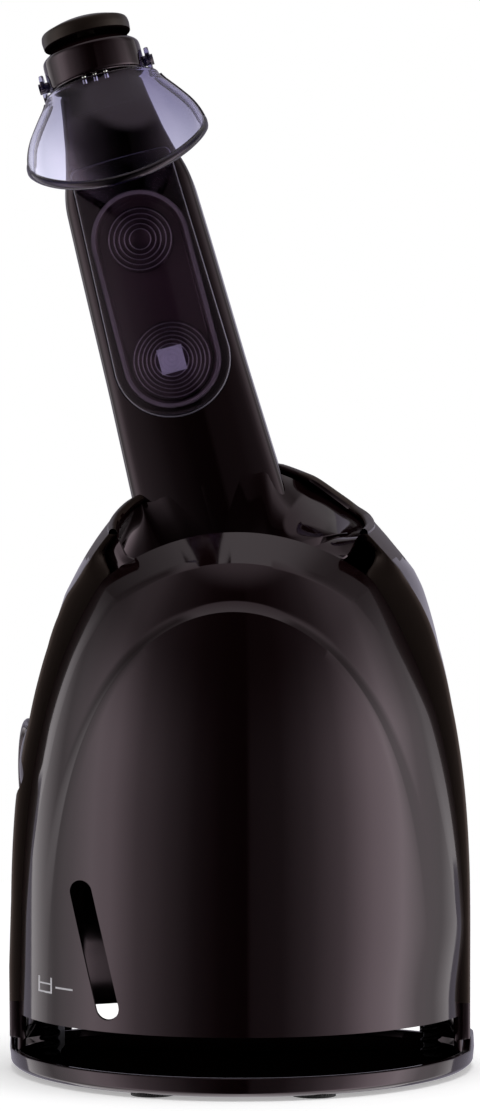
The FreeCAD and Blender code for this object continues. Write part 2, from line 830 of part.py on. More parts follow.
def make_shells():
    """The front shell and the rear housing, cut from one dome along a leaning seam."""
    outer = dome("dome_outer", size.housing_inset, rim_top + size.gap)
    raised = dome("dome_raised", size.housing_inset - size.panel_step, rim_top + size.gap, size.panel_rise)
    inner = dome("dome_inner", size.housing_inset + size.shell_wall, 0)
    under_lip = common("under_lip", inner, lip_former("lip_roof", size.shell_wall))
    bowl_room = bowl_solid("bowl_room", size.bowl_wall + size.bowl_gap)
    arm_room = arm_solid("arm_room", size.gap)

    front_zone = plate("front_zone", "YZ_Plane", 0, 2 * FAR, (-FAR, size.front_bottom),
                       (size.seam_foot, size.front_bottom), (seam_y(FAR), FAR), (-FAR, FAR), both_ways=True)
    panel_zone = plate("panel_zone", "XZ_Plane", 0, 2 * FAR,
                       (-size.panel_foot_half, size.front_bottom - 8),
                       (size.panel_foot_half, size.front_bottom - 8),
                       (size.panel_head_half, size.panel_top, size.panel_corner),
                       (-size.panel_head_half, size.panel_top, size.panel_corner), both_ways=True)
    panel = common("raised_panel", raised, panel_zone, box("panel_depth", (-FAR, -FAR, 0), (FAR, -8, FAR)))
    lip = lip_former("front_lip", 0)
    block = common("front_block", join("front_dome", outer, panel), front_zone, lip)
    slot = level_slot()
    keep(cut("front_shell", block, under_lip, bowl_room, slot))

    rear_foot = rim_top + size.gap
    rear_zone = plate("rear_zone", "YZ_Plane", 0, 2 * FAR, (seam_y(rear_foot) + size.gap, rear_foot),
                      (FAR, rear_foot), (FAR, FAR), (seam_y(FAR) + size.gap, FAR), both_ways=True)
    notch_half = column_inner - size.notch_inset
    notch = box("notch", (-notch_half, size.plan_centre, 0), (notch_half, FAR, size.notch_top))
    bezel_bore = rod("bezel_bore", size.bezel_radius + size.gap / 2, 20, (0, 0, -10), frame=BUTTON)
    inlet = stadium("inlet_bore", size.nose_width + size.gap * 2, size.nose_height + size.gap * 2, 20,
                    (size.socket_x, socket_back - 2, roof_top + size.socket_height / 2))
    skirt_top = ear_top + size.rim_bottom_gap
    skirt = common("rear_skirt", outer, box("skirt_zone", (-FAR, -FAR, 0), (FAR, FAR, skirt_top)))
    broad = dome("dome_broad", size.housing_inset, skirt_top, 0, size.rim_reach)
    block = common("rear_block", join("rear_dome", skirt, broad), rear_zone)
    keep(cut("rear_housing", block, inner, bowl_room, arm_room, notch, bezel_bore, inlet))


def stadium(name, width, height, length, at):
    """A bar along +Y with round ends in X."""
    width, height = as_size(width), as_size(height)
    x, y, z = at
    straight = (width - height) / 2
    left = rod(name + "_left", height / 2, length, (x - straight, y, z), ALONG_Y)
    right = rod(name + "_right", height / 2, length, (x + straight, y, z), ALONG_Y)
    middle = box(name + "_middle", (x - straight, y, z - height / 2),
                 (x + straight, y + length, z + height / 2))
    return join(name, left, right, middle)


def level_slot():
    """The slanted slot through which the liquid's level is seen."""
    lean = Rotation(Y, -SIZES["slot_lean"])
    centre = Placement(Vector(SIZES["slot_x"], 0, SIZES["slot_z"]), lean)
    half = size.slot_width / 2
    ends = [rod("slot_end_%d" % index, half, FAR, (0, 0, size.slot_length / 2 * sign), TOWARDS_FRONT, centre)
            for index, sign in enumerate((-1, 1))]
    middle = box("slot_middle", (-half, -FAR, -size.slot_length / 2), (half, 0, size.slot_length / 2),
                 frame=centre)
    return join("level_slot", middle, *ends)


# ---- arm ----

def arm_sections(grow):
    """The arm's levels: (height, half width, depth behind), each grown."""
    return [(-size.arm_foot - grow, size.arm_foot_half, size.arm_foot_back),
            (as_size(0), size.arm_mid_half, size.arm_mid_back),
            (size.arm_shoulder, size.arm_shoulder_half, size.arm_shoulder_back),
            (size.arm_top + grow, size.arm_top_half, size.arm_top_back)]


def arm_solid(name, grow):
    """The arm as a loft through rounded rectangles, grown all round."""
    grow = as_size(grow)
    owner = body(name, ARM)
    drawings = []
    for level, half, back in arm_sections(grow):
        drawing = sketch(owner, "XY_Plane", level)
        side, rear, front, corner = half + grow, back + grow, size.arm_front + grow, size.arm_corner + grow
        outline(drawing, (-side, -front, corner), (side, -front, corner), (side, rear, corner),
                (-side, rear, corner))
        drawings.append(drawing)
    loft = owner.newObject("PartDesign::AdditiveLoft", name + "_loft")
    loft.Profile = drawings[0]
    loft.Sections = drawings[1:]
    return owner


def arm_back_at(level):
    """How far behind its axis the arm's back face lies, between its middle and its shoulder."""
    share = level / size.arm_shoulder
    return size.arm_mid_back + (size.arm_shoulder_back - size.arm_mid_back) * share


def window_plate(name, grow, front, thickness):
    """The tongue-shaped plate of the window: straight sides and a round foot."""
    low = size.window_low
    radius = size.window_low_radius + grow
    owner = body(name, ARM)
    drawing = sketch(owner, "XZ_Plane", size.arm_front + as_size(front))
    top = size.window_high + grow
    foot = radius * size.window_roundness
    outline(drawing, (-radius, low - radius, foot), (radius, low - radius, foot),
            (size.window_high_half + grow, top), (-size.window_high_half - grow, top))
    result = pad(owner, drawing, thickness)
    result.Reversed = True
    return owner


def capsule(name, radius, low, high, near, far):
    """A round-ended block in the arm, from depth near to depth far behind the arm's face."""
    near, far = as_size(near), as_size(far)
    length = far - near
    ends = [rod("%s_%s" % (name, word), radius, length, (0, -size.arm_front + near, level), ALONG_Y, ARM)
            for word, level in (("low", low), ("high", high))]
    middle = box(name + "_middle", (-as_size(radius), -size.arm_front + near, low),
                 (radius, -size.arm_front + far, high), frame=ARM)
    return join(name, middle, *ends)


def make_arm():
    """Two half shells, the smoked window and what shines through it."""
    outer = arm_solid("arm_outer", 0)
    inner = arm_solid("arm_hollow", -size.arm_wall)
    split = size.gap / 2
    ahead = box("arm_ahead", (-FAR, -FAR, -FAR), (FAR, -split, FAR), frame=ARM)
    behind = box("arm_behind", (-FAR, split, -FAR), (FAR, FAR, FAR), frame=ARM)
    shell = cut("arm_shell", outer, inner)
    rebate = window_plate("window_rebate", size.gap / 2, 1, size.window_wall + 1)
    recess = capsule("recess", size.recess_radius, size.window_low, size.recess_high, 0, 6)
    keep(cut("arm_front", common("arm_front_half", shell, ahead), rebate, recess))
    screws, ways = [], []
    for number, level in enumerate((size.arm_screw_low, size.arm_screw_high)):
        back = arm_back_at(level) - size.screw_head_height
        ways.append(rod("arm_screw_way_%d" % number, size.screw_radius + size.screw_gap, 30, (0, 0, level),
                        ALONG_Y, ARM))
        ways.append(rod("arm_screw_sink_%d" % number, size.screw_head + size.screw_gap * 2, 10,
                        (0, back - size.screw_gap, level), ALONG_Y, ARM))
        head = rod("arm_screw_head_%d" % number, size.screw_head, size.screw_head_height,
                   (0, back, level), ALONG_Y, ARM)
        shank = rod("arm_screw_shank_%d" % number, size.screw_radius, size.arm_screw_length,
                    (0, back - size.arm_screw_length, level), ALONG_Y, ARM)
        screws.append(join("arm_screw_%d" % number, head, shank))
    keep(cut("arm_back", common("arm_back_half", shell, behind), *ways))
    keep(group("arm_screws", *screws))

    keep(window_plate("smoked_window", 0, 0, size.window_wall - size.gap / 2))
    tray_back = size.window_wall + size.frame_depth
    floor = tray_back - size.frame_wall
    tray = capsule("frame_outer", size.recess_radius - size.gap, size.window_low, size.recess_high,
                   size.window_wall + size.frame_gap, tray_back)
    hollow = capsule("frame_inner", size.recess_radius - size.gap - size.frame_wall, size.window_low,
                     size.recess_high, 0, floor)
    keep(cut("window_frame", tray, hollow))
    lens_front = -size.arm_front + floor - size.lens_thickness
    for word, level, radius in (("lower", size.window_low, size.lower_lens_radius),
                                ("upper", size.recess_high, size.upper_lens_radius)):
        rings = []
        for step in range(RING_COUNT):
            groove = radius * (size.ring_first - size.ring_step * step)
            near = lens_front - 1 + size.ring_depth
            outer_ring = rod("%s_ring_out_%d" % (word, step), groove, 1, (0, near, level), ALONG_Y, ARM)
            inner_ring = rod("%s_ring_in_%d" % (word, step), groove - size.ring_width, 1, (0, near, level),
                             ALONG_Y, ARM)
            rings.append(cut("%s_groove_%d" % (word, step), outer_ring, inner_ring))
        disc = rod(word + "_disc", radius, size.lens_thickness, (0, lens_front, level), ALONG_Y, ARM)
        keep(cut(word + "_lens", disc, *rings))
    side = size.guide_side / 2
    keep(box("light_guide", (-side, lens_front - size.guide_thickness, size.window_low - side),
             (side, lens_front, size.window_low + side), frame=ARM))
    board_front = -size.arm_front + tray_back + size.light_board_gap
    keep(box("light_board",
             (-size.light_board_half, board_front, size.window_low - size.light_board_margin),
             (size.light_board_half, board_front + size.board_thickness,
              size.recess_high + size.light_board_margin), frame=ARM))
    lamps = []
    half = size.lamp_side / 2
    for number in range(LAMP_COUNT):
        share = as_size(number) / (LAMP_COUNT - 1)
        level = size.window_low + (size.recess_high - size.window_low) * share
        lamps.append(box("lamp_%d" % number, (-half, board_front - size.lamp_height, level - half),
                         (half, board_front, level + half), frame=ARM))
    keep(group("status_lamps", *lamps))


# ---- head: collar, start button, contacts and hood ----

def ball_cap(name, radius, bottom, ball, apex):
    """An upright disc with a domed top: a cylinder shared with a ball."""
    disc = rod(name + "_disc", radius, apex - bottom + 1, (0, 0, bottom), frame=HEAD)
    round_top = primitive("Sphere", name + "_ball", (0, 0, apex - ball), frame=HEAD, Radius=ball)
    return common(name, disc, round_top)


def make_head():
    """The collar on the arm's top and the button that caps it."""
    apex = size.collar_height + size.collar_dome
    ball = (size.collar_radius ** 2 + size.collar_dome ** 2) / (2 * size.collar_dome)
    outer = ball_cap("collar_outer", size.collar_radius, 0, ball, apex)
    hollow = ball_cap("collar_hollow", size.collar_radius - size.collar_wall, -1,
                      ball - size.collar_wall, apex - size.collar_wall)
    stem_bore = rod("stem_bore", size.start_stem + size.running_gap, 20, (0, 0, 1), frame=HEAD)
    pin_bores = [rod("pivot_bore_%d" % side, size.pivot_radius, 8,
                     (size.collar_radius * side - 4 * (side + 1), 0, size.hood_pivot), ALONG_X, HEAD)
                 for side in (-1, 1)]
    keep(cut("collar", outer, hollow, stem_bore, *pin_bores))

    under = ball + size.button_cap_gap
    over = under + size.button_cap_thick
    centre = apex - ball
    top = ball_cap("button_top", size.button_cap_radius, 1, over, centre + over)
    scoop = primitive("Sphere", "button_scoop", (0, 0, centre), frame=HEAD, Radius=under)
    stem_foot = size.collar_height - size.start_stem_drop
    stem = rod("button_stem_rod", size.start_stem, centre + under - stem_foot + 1, (0, 0, stem_foot),
               frame=HEAD)
    flange_top = apex - size.collar_wall - size.gap * 3
    flange_bottom = flange_top - size.flange_thickness
    flange = rod("stem_flange", size.start_stem + size.flange_width, size.flange_thickness,
                 (0, 0, flange_bottom), frame=HEAD)
    keep(join("start_button", cut("button_disc", top, scoop), stem, flange))

    plate_top = size.contact_plate + size.gap
    wire = size.start_spring_wire
    spring_foot = plate_top + wire + size.running_gap
    keep(spring("start_spring", size.start_stem + size.gap + wire, wire,
                flange_bottom - size.running_gap - wire - spring_foot, size.start_spring_turns,
                (0, 0, spring_foot), frame=HEAD))
    half = size.switch_half
    keep(box("start_switch", (-half, -half, plate_top + size.running_gap),
             (half, half, stem_foot - size.start_travel - size.gap * 2), frame=HEAD))
    pins = []
    for side in (-1, 1):
        inner_end = size.collar_radius - size.collar_wall
        outer_end = size.hood_neck - size.running_gap
        start = inner_end if side > 0 else -outer_end
        pins.append(rod("hinge_pin_%d" % (side + 1), size.pivot_radius, outer_end - inner_end,
                        (start, 0, size.hood_pivot), ALONG_X, HEAD))
    keep(group("hinge_pins", *pins))


def make_contacts():
    """The contact block under the collar's front with three sprung pins."""
    disc = rod("contact_disc", size.collar_radius - size.collar_wall - size.gap, size.contact_plate,
               (0, 0, size.gap), frame=HEAD)
    hang = box("contact_hang", (-size.block_half, -size.block_front, -size.block_drop),
               (size.block_half, size.head_forward - size.arm_front - size.gap, size.gap * 2), frame=HEAD)
    bores = []
    for number in (-1, 0, 1):
        x = size.contact_pitch * number
        bores.append(rod("contact_bore_%d" % (number + 1), size.contact_radius + size.running_gap, 20,
                         (x, -size.contact_forward, -10), frame=HEAD))
    keep(cut("contact_block", join("contact_body", disc, hang), *bores))
    for number, word in ((-1, "left"), (0, "middle"), (1, "right")):
        x = size.contact_pitch * number
        head_foot = size.contact_plate + size.gap * 2
        pin = rod("contact_rod_" + word, size.contact_radius, size.contact_proud + head_foot,
                  (x, -size.contact_forward, -size.contact_proud), frame=HEAD)
        head = rod("contact_head_" + word, size.contact_radius + size.contact_head_step, size.contact_head,
                   (x, -size.contact_forward, head_foot), frame=HEAD)
        keep(join("contact_pin_" + word, pin, head))
        keep(spring("contact_spring_" + word, size.contact_radius, size.contact_spring_wire,
                    size.contact_travel + size.contact_spring_solid, size.contact_spring_turns,
                    (x, -size.contact_forward, head_foot + size.contact_head + size.gap), frame=HEAD))


def make_hood():
    """The clear hood: a flaring half bell, its hem lower in front, hung on two ears."""
    def bell(name, grow):
        sections = [(size.hood_neck - grow, size.hood_neck - grow, 0, 0, as_size(-1) + grow / 2),
                    (size.hood_waist_half - grow, size.hood_waist_reach - grow, 0, 0, -size.hood_waist),
                    (size.hood_hem_half - grow, size.hood_hem_reach - grow, 0, 0, -size.hood_hem - grow)]
        return ellipse_loft(name, sections, HEAD)
    skirt = cut("hood_skirt", bell("hood_out", as_size(0)), bell("hood_in", size.hood_wall),
                rod("hood_throat", size.hood_neck - size.hood_wall, size.throat_depth * 2,
                    (0, 0, -size.throat_depth), frame=HEAD))
    hem = -size.hood_hem + size.hem_lift
    side_line = -size.throat_depth
    over = size.pivot_radius + size.ear_ring
    zone = plate("hood_zone", "YZ_Plane", 0, 2 * FAR, (side_line, over), (side_line, -size.hood_side),
                 (-size.hood_hem_reach, hem), (-FAR, hem), (-FAR, over), frame=HEAD, both_ways=True)
    parts = [common("hood_front", skirt, zone)]
    for side in (-1, 1):
        inner = size.hood_neck - size.hood_wall
        start = inner if side > 0 else -size.hood_neck
        round_ear = rod("hood_ear_%d" % (side + 1), size.pivot_radius + size.ear_ring, size.hood_wall,
                        (start, 0, size.hood_pivot), ALONG_X, HEAD)
        low, high = (inner, size.hood_neck) if side > 0 else (-size.hood_neck, -inner)
        strap = box("hood_strap_%d" % (side + 1), (low, -size.strap_front, -size.strap_low),
                    (high, size.strap_back, size.hood_pivot), frame=HEAD)
        parts += [round_ear, strap]
    bores = [rod("hood_bore_%d" % (side + 1), size.pivot_radius + size.running_gap, 6,
                 (size.hood_neck * side - 3, 0, size.hood_pivot), ALONG_X, HEAD) for side in (-1, 1)]
    keep(cut("hood", join("hood_body", *parts), *bores))


# ---- lift button ----

def make_lift_button():
    """The domed button in its bezel, with its stem, spring and latch."""
    bore = size.button_radius + size.gap
    back = size.bezel_proud - size.bezel_depth
    ring_body = rod("bezel_ring", size.bezel_radius, size.bezel_depth, (0, 0, back), frame=BUTTON)
    ring_bore = rod("bezel_hole", bore, 20, (0, 0, -10), frame=BUTTON)
    keep(cut("lift_button_bezel", ring_body, ring_bore))
    ball = (size.button_radius ** 2 + size.button_dome ** 2) / (2 * size.button_dome)
    apex = size.bezel_proud + size.button_dome - size.button_sink
    disc_back = apex - size.button_dome - size.button_disc
    disc = rod("lift_disc", size.button_radius, apex + 1 - disc_back, (0, 0, disc_back), frame=BUTTON)
    round_top = primitive("Sphere", "lift_ball", (0, 0, apex - ball), frame=BUTTON, Radius=ball)
    stem_back = disc_back + 1 - size.lift_stem_length
    stem = rod("lift_stem", size.button_stem, size.lift_stem_length, (0, 0, stem_back), frame=BUTTON)
    keep(join("lift_button", common("lift_dome", disc, round_top), stem))
    blade_x = -column_inner + size.gap * 2
    blade_back = latch_front + size.latch_depth
    arm_top = size.button_height + size.latch_arm_half
    blade = box("latch_blade", (blade_x, latch_front, hook_bottom),
                (blade_x + size.latch_thick, blade_back, arm_top))
    hook = box("latch_hook", (-column_inner - hook_reach, latch_front, hook_bottom),
               (blade_x + size.latch_thick / 2, blade_back, hook_bottom + size.hook_height))
    arm = box("latch_arm", (blade_x, -size.latch_arm_front, size.button_height - size.latch_arm_half),
              (blade_x + size.latch_thick, blade_back, arm_top))
    seat = rod("latch_seat", size.button_stem, size.lift_stem_length, (0, 0, stem_back), frame=BUTTON)
    keep(cut("latch", join("latch_body", blade, hook, arm), seat))
    wire = size.button_spring_wire
    spring_top = disc_back - wire - size.running_gap * 2
    keep(spring("lift_button_spring", size.button_stem + size.gap + wire, wire, size.button_spring_length,
                size.button_spring_turns, (0, 0, spring_top - size.button_spring_length), frame=BUTTON))


# ---- pump, drain and electrics ----

def make_pump():
    """The pump on the chassis with its wheel, shaft and motor."""
    x, y = size.pump_x, size.pump_y
    outer = rod("pump_outer", size.pump_radius, size.pump_height, (x, y, roof_top))
    floor = roof_top + size.pump_wall
    hollow = rod("pump_hollow", size.pump_radius - size.pump_wall, size.pump_height, (x, y, floor))
    inlet = rod("pump_inlet", size.spike_radius - size.tube_wall, 8, (x, y, roof_top - 2))
    port = rod("pump_port", size.tube_radius + size.running_gap * 2, size.pump_radius, (x, y, port_z),
               TOWARDS_FRONT)
    keep(cut("pump_housing", outer, hollow, inlet, port))
    cover_z = roof_top + size.pump_height
    cover = rod("cover_disc", size.pump_radius, size.cover_thickness, (x, y, cover_z))
    bore = rod("cover_bore", size.shaft_radius + size.running_gap, 8, (x, y, cover_z - 2))
    keep(cut("pump_cover", cover, bore))
    wheel_z = floor + size.impeller_lift
    hub = rod("impeller_disc_hub", size.shaft_radius + size.impeller_hub, size.impeller_height,
              (x, y, wheel_z))
    web = rod("impeller_web_disc", size.impeller_radius, size.impeller_web, (x, y, wheel_z))
    blades = []
    for number in range(BLADE_COUNT):
        turn = Rotation(Z, 360 / BLADE_COUNT * number)
        spot = Placement(Vector(x.number, y.number, wheel_z.number), turn)
        blades.append(box("impeller_vane_%d" % number, (0, -size.blade_half, 0),
                          (size.impeller_radius, size.blade_half, size.impeller_height), frame=spot))
    wheel = join("impeller_wheel", hub, web, *blades)
    keep(cut("impeller", wheel, rod("impeller_bore", size.shaft_radius, 20, (x, y, wheel_z - 5))))
    motor_z = cover_z + size.cover_thickness
    keep(rod("pump_shaft", size.shaft_radius, motor_z + size.shaft_hold - wheel_z, (x, y, wheel_z)))
    motor = rod("motor_can", size.motor_radius, size.motor_height, (x, y, motor_z))
    bore = rod("motor_bore", size.shaft_radius + size.running_gap, size.shaft_hold + size.gap,
               (x, y, motor_z))
    keep(cut("pump_motor", motor, bore))


def make_tubes():
    """The spikes that enter the cartridge, the drain from the bowl and the riser to it."""
    radius, wall = size.spike_radius - size.running_gap, size.tube_wall
    low = size.roof_bottom - size.spike_length
    for name, spot in (("intake_spike", (size.pump_x, size.pump_y)), ("drain_spike", drain_spot[:2])):
        seat = Placement(Vector(as_size(spot[0]).number, as_size(spot[1]).number, 0), NO_TURN)
        keep(turned(name + "_turned", (radius - wall, low), (radius - wall + size.spike_edge, low),
                    (radius, low + size.spike_point), (radius, roof_top), (radius - wall, roof_top),
                    frame=seat), name)
    foot = drain_spot[2] - size.tube_drop
    tube_out = rod("drain_outer", size.tube_radius + wall, foot - roof_top, (*drain_spot[:2], roof_top))
    tube_in = rod("drain_inner", size.tube_radius, 60, (*drain_spot[:2], roof_top - 1))
    keep(cut("drain_tube", tube_out, tube_in))
    seal_foot = foot + size.running_gap
    seal_out = rod("seal_outer", size.drain_radius + size.seal_wall, size.seal_height,
                   (*drain_spot[:2], seal_foot))
    seal_room = bowl_solid("seal_room", size.bowl_wall + size.running_gap)
    seal_in = rod("seal_inner", size.tube_radius, 12, (*drain_spot[:2], seal_foot - 2))
    keep(cut("drain_seal", seal_out, seal_in, seal_room))

    x = size.pump_x
    port_y = size.pump_y - size.pump_radius + size.pump_wall
    up_y = port_y - size.riser_run
    stub = rod("riser_stub", size.tube_radius, size.riser_run, (x, port_y, port_z), TOWARDS_FRONT)
    knee = primitive("Sphere", "riser_knee", (x, up_y, port_z), Radius=size.tube_radius)
    rise = rod("riser_up", size.tube_radius, size.riser_height, (x, up_y, port_z))
    keep(join("riser_tube", stub, knee, rise))


def make_electrics():
    """The board on its posts with what stands on it, and the inlet in the back wall."""
    half = size.board_width / 2
    x, face = size.board_x, board_y
    keep(box("main_board", (x - half, face, roof_top),
             (x + half, face + size.board_thickness, roof_top + size.board_height)))
    relay_x, relay_z = x + size.relay_x, roof_top + size.relay_lift
    chip_x, chip_z = x + size.chip_x, roof_top + size.chip_lift
    parts = [box("relay", (relay_x - size.relay_side / 2, face - size.relay_depth, relay_z),
                 (relay_x + size.relay_side / 2, face, relay_z + size.relay_side)),
             box("chip", (chip_x - size.chip_width / 2, face - size.chip_depth, chip_z),
                 (chip_x + size.chip_width / 2, face, chip_z + size.chip_height)),
             rod("capacitor", size.capacitor_radius, size.capacitor_length,
                 (x + size.capacitor_x, face, roof_top + size.capacitor_lift), TOWARDS_FRONT)]
    keep(group("board_parts", *parts))

    middle, height = size.socket_x, roof_top + size.socket_height / 2
    front = socket_back - size.socket_depth
    block = box("socket_block", (middle - size.socket_width / 2, front, roof_top),
                (middle + size.socket_width / 2, socket_back, roof_top + size.socket_height))
    nose = stadium("socket_nose", size.nose_width, size.nose_height, size.nose_length + 1,
                   (middle, socket_back - 1, height))
    inlet_y = socket_back + size.nose_length - size.inlet_depth
    opening = stadium("socket_opening", size.inlet_width, size.inlet_height, 30, (middle, inlet_y, height))
    holes, pins = [], []
    for side in (-1, 1):
        pin_x = middle + size.socket_pin_pitch / 2 * side
        holes.append(rod("socket_pin_hole_%d" % (side + 1), size.socket_pin_radius, 20,
                         (pin_x, front - 2, height), ALONG_Y))
        pins.append(rod("socket_pin_%d" % (side + 1), size.socket_pin_radius,
                        inlet_y + size.socket_pin_length - front, (pin_x, front, height), ALONG_Y))
    keep(cut("power_socket", join("socket_body", block, nose), opening, *holes))
    keep(group("socket_pins", *pins))


def make_screws():
    """The four screws that would hold the rear housing's bosses to the chassis roof."""
    screws = []
    for number, (x, y) in enumerate(screw_spots):
        head = rod("screw_head_%d" % number, size.screw_head, size.screw_head_height,
                   (x, y, size.roof_bottom - size.screw_head_height))
        shank = rod("screw_shank_%d" % number, size.screw_radius, size.roof_thickness + size.screw_hold,
                    (x, y, size.roof_bottom))
        screws.append(join("housing_screw_%d" % number, head, shank))
    keep(group("housing_screws", *screws))


make_base()
make_columns()
make_chassis()
make_bowl()
make_shells()
make_arm()
make_head()
make_contacts()
make_hood()
make_lift_button()
make_pump()
make_tubes()
make_electrics()
make_screws()
doc.recompute()

# ---- check and write ----

broken = [thing.Name for thing in doc.Objects
          if {"Invalid", "Error"} & set(thing.State) or "Touched" in thing.State]
for thing in nodes:
    shape = thing.Shape
    if shape.isNull() or not shape.isValid() or not shape.Solids:
        broken.append(thing.Label)
if broken:
    raise RuntimeError("these objects failed: " + ", ".join(broken))

os.makedirs("parts", exist_ok=True)
for thing in nodes:
    thing.Shape.exportStep("parts/%s.step" % thing.Label)
print(len(nodes), "pieces written")
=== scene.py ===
"""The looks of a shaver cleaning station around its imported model: glossy shells, a smoked hood and window."""
import json
import math

import bmesh
import bpy
import numpy as np
from mathutils import Matrix, Vector

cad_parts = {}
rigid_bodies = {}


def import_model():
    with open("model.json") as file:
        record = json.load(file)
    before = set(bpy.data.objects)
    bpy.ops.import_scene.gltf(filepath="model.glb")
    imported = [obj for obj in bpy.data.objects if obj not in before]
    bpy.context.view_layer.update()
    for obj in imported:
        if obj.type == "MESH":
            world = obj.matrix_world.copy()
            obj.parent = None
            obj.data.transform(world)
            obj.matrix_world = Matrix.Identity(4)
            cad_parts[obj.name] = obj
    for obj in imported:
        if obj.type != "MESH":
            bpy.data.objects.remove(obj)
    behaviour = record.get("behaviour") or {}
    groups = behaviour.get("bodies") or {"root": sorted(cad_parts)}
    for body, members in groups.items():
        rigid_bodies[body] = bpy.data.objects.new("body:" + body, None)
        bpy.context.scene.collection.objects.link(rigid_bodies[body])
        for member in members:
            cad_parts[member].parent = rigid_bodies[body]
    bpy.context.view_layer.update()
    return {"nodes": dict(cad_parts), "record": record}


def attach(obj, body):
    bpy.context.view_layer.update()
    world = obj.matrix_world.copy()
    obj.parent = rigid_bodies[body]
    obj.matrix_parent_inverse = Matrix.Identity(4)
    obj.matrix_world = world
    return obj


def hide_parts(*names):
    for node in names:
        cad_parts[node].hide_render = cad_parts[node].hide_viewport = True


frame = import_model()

MM = 0.001

# ---- sizes in millimetres, the part's own where the form is the same ----
HALF_WIDTH = 65.5        # of the housing, at its widest line
FRONT_REACH = 73.5       # from the widest line to the front
BACK_REACH = 41.5
BLUNT_REACH = 118.5      # the rear housing's sides run on to their front rim
SKIRT_TOP = 10.2         # below it they follow the plain plan
SKIRT_STEP = 0.4         # height over which they go over from the one to the other
PLAN_CENTRE = 16.0       # Y of the widest line
SPRING_LINE = 40.0       # where the dome starts to draw in
CROWN = 178.0
BACK_CROWN = 220.5       # of the back half, which the wings cut off before it closes
PANEL_RISE = 5.0         # of the raised panel's crown
ARCH_POWER = 2.5
SHELL_WALL = 2.2
FRONT_BOTTOM = 17.0
SEAM_FOOT = -5.0
SEAM_LEAN = math.tan(math.radians(6.0))
LIP_RADIUS = 60.0
LIP_CENTRE = 93.5
LIP_DEPTH = -22.0        # Y of the front lip's top edge
REAR_BOTTOM = 6.5
ARM_LEAN, ARM_BACK_LEAN = 15.0, 5.0
ARM_ORIGIN = (-12.3, 32.0, 172.0)
ARM_FRONT = 13.0         # from the arm's axis to its front
HEAD_SPOT = (0.0, -12.0, 117.3)
PANEL_HALF, PANEL_TOP, PANEL_RAMP = 55.0, 132.0, 2.6     # half width, height, width of the ramp round it

# In the arm's own frame, whose axes go across, to the back and up along the arm:
ARM_FOOT, ARM_TOP = -60, 117
ARM_CROWN = 50.0         # radius of its crowned front
ARM_CORNER, ARM_END = 3.6, 1.6     # radii of its long edges and of its top edge
LOWER_LIGHT, UPPER_LIGHT = 32.6, 69.6     # levels of the two lenses
TRAY_RADIUS = 14.3       # of the round ends of the tray behind the window
LENS_FOOT = 5.6          # depth of the tray's floor, on which the lenses stand
BOWL_FOOT = -64          # level where the bowl's walls end
COLLAR_RADIUS, COLLAR_TOP, COLLAR_RISE = 14.6, 14, 5     # its crown is the cap of a ball, rising so much

BASE_HALF, BASE_FRONT, BASE_BACK = 67.0, 75.0, 43.0
DECK_LEVEL = 3.6         # of the base tray's floor, where the cartridge stands
# the hood's painted shade: its tint deepens from the hem to the neck, beside the arm
HOOD_HEM, HOOD_NECK = (-51.0, 1.5, 253.0), (-42.0, -4.5, 286.0)     # places between which its tint deepens

# ---- tables of where and how much, in millimetres ----
# By height: how far the rear housing's left side is drawn in and its right side out.
DRAWN_IN = ([30, 49, 77, 95, 100, 113, 121, 130, 136], [0, 0.7, 1.0, 1.6, 2.0, 2.1, 2.0, 1.1, 0])
DRAWN_OUT = ([105, 121, 130, 138, 143, 150, 156], [0, 0.6, 1.5, 2.4, 2.4, 0.9, 0])
# By depth: the height of the two wings' rims.
RIGHT_WING = ([-40, -19, -2, 16, 25, 30, 33, 40, 46], [151, 153, 155, 157.5, 160, 164.5, 168.7, 172.2, 174])
LEFT_WING = ([-40, -19, 0, 14, 22, 28, 31], [151, 153, 157, 161, 163, 164.5, 174])
# By level along the arm: half the arm's width, and the hood's half width and reach below the head.
ARM_SIDES = ([-60, 2, 28, 64, 86, 92, 99, 113, 117], [24.4, 21.7, 20.7, 19.8, 19.1, 17.2, 15.2, 12.8, 12.6])
HOOD_LEVELS = [-36, -30, -20.5, -14, -9, -5, -2]
HOOD_HALVES = [27.4, 27.4, 27.2, 25.6, 22.2, 19.0, 16.6]
HOOD_REACHES = [30.5, 29.5, 26.8, 24.0, 20.8, 18.4, 16.4]
# By inset and depth: the light tray's wall. By distance from a ridge's middle and depth: a lens ridge.
TRAY_PROFILE = [(14.3, 6.6), (7, 6.6), (0, 6.6), (0, 2.2), (0.1, 1.8), (0.45, 1.66), (0.9, 1.75), (1.3, 2.1),
                (1.75, 2.9), (2.05, 3.8), (2.2, 4.8), (2.35, 5.4), (2.8, 5.6), (7, 5.6), (14.3, 5.6)]
RIDGE = [(0.42, 4.35), (0.16, 4.05), (-0.16, 4.05), (-0.42, 4.35)]
# The lenses' levels, radii and the radii of their ridges.
LENSES = (("lower", LOWER_LIGHT, 11.8, (11.0, 9.7, 8.5, 7.3, 6.1, 4.9)),
          ("upper", UPPER_LIGHT, 9.8, (9.1, 7.6, 6.1, 4.6, 3.1)))


def turn(axis, degrees):
    """A rotation about one axis as a 3 by 3 array."""
    return np.array(Matrix.Rotation(math.radians(degrees), 3, axis))


ARM_TURN = turn("Y", -ARM_LEAN) @ turn("X", -ARM_BACK_LEAN)


def place(points, origin, rotation):
    """Points of a frame in the part's own frame: rotation times point plus origin."""
    return np.asarray(points) @ rotation.T + np.asarray(origin)


def arm_place(points):
    """Points of the arm's frame in the part's own."""
    return place(points, ARM_ORIGIN, ARM_TURN)


def arm_local(points):
    """The part's points in the arm's frame."""
    return (np.asarray(points) - np.asarray(ARM_ORIGIN)) @ ARM_TURN


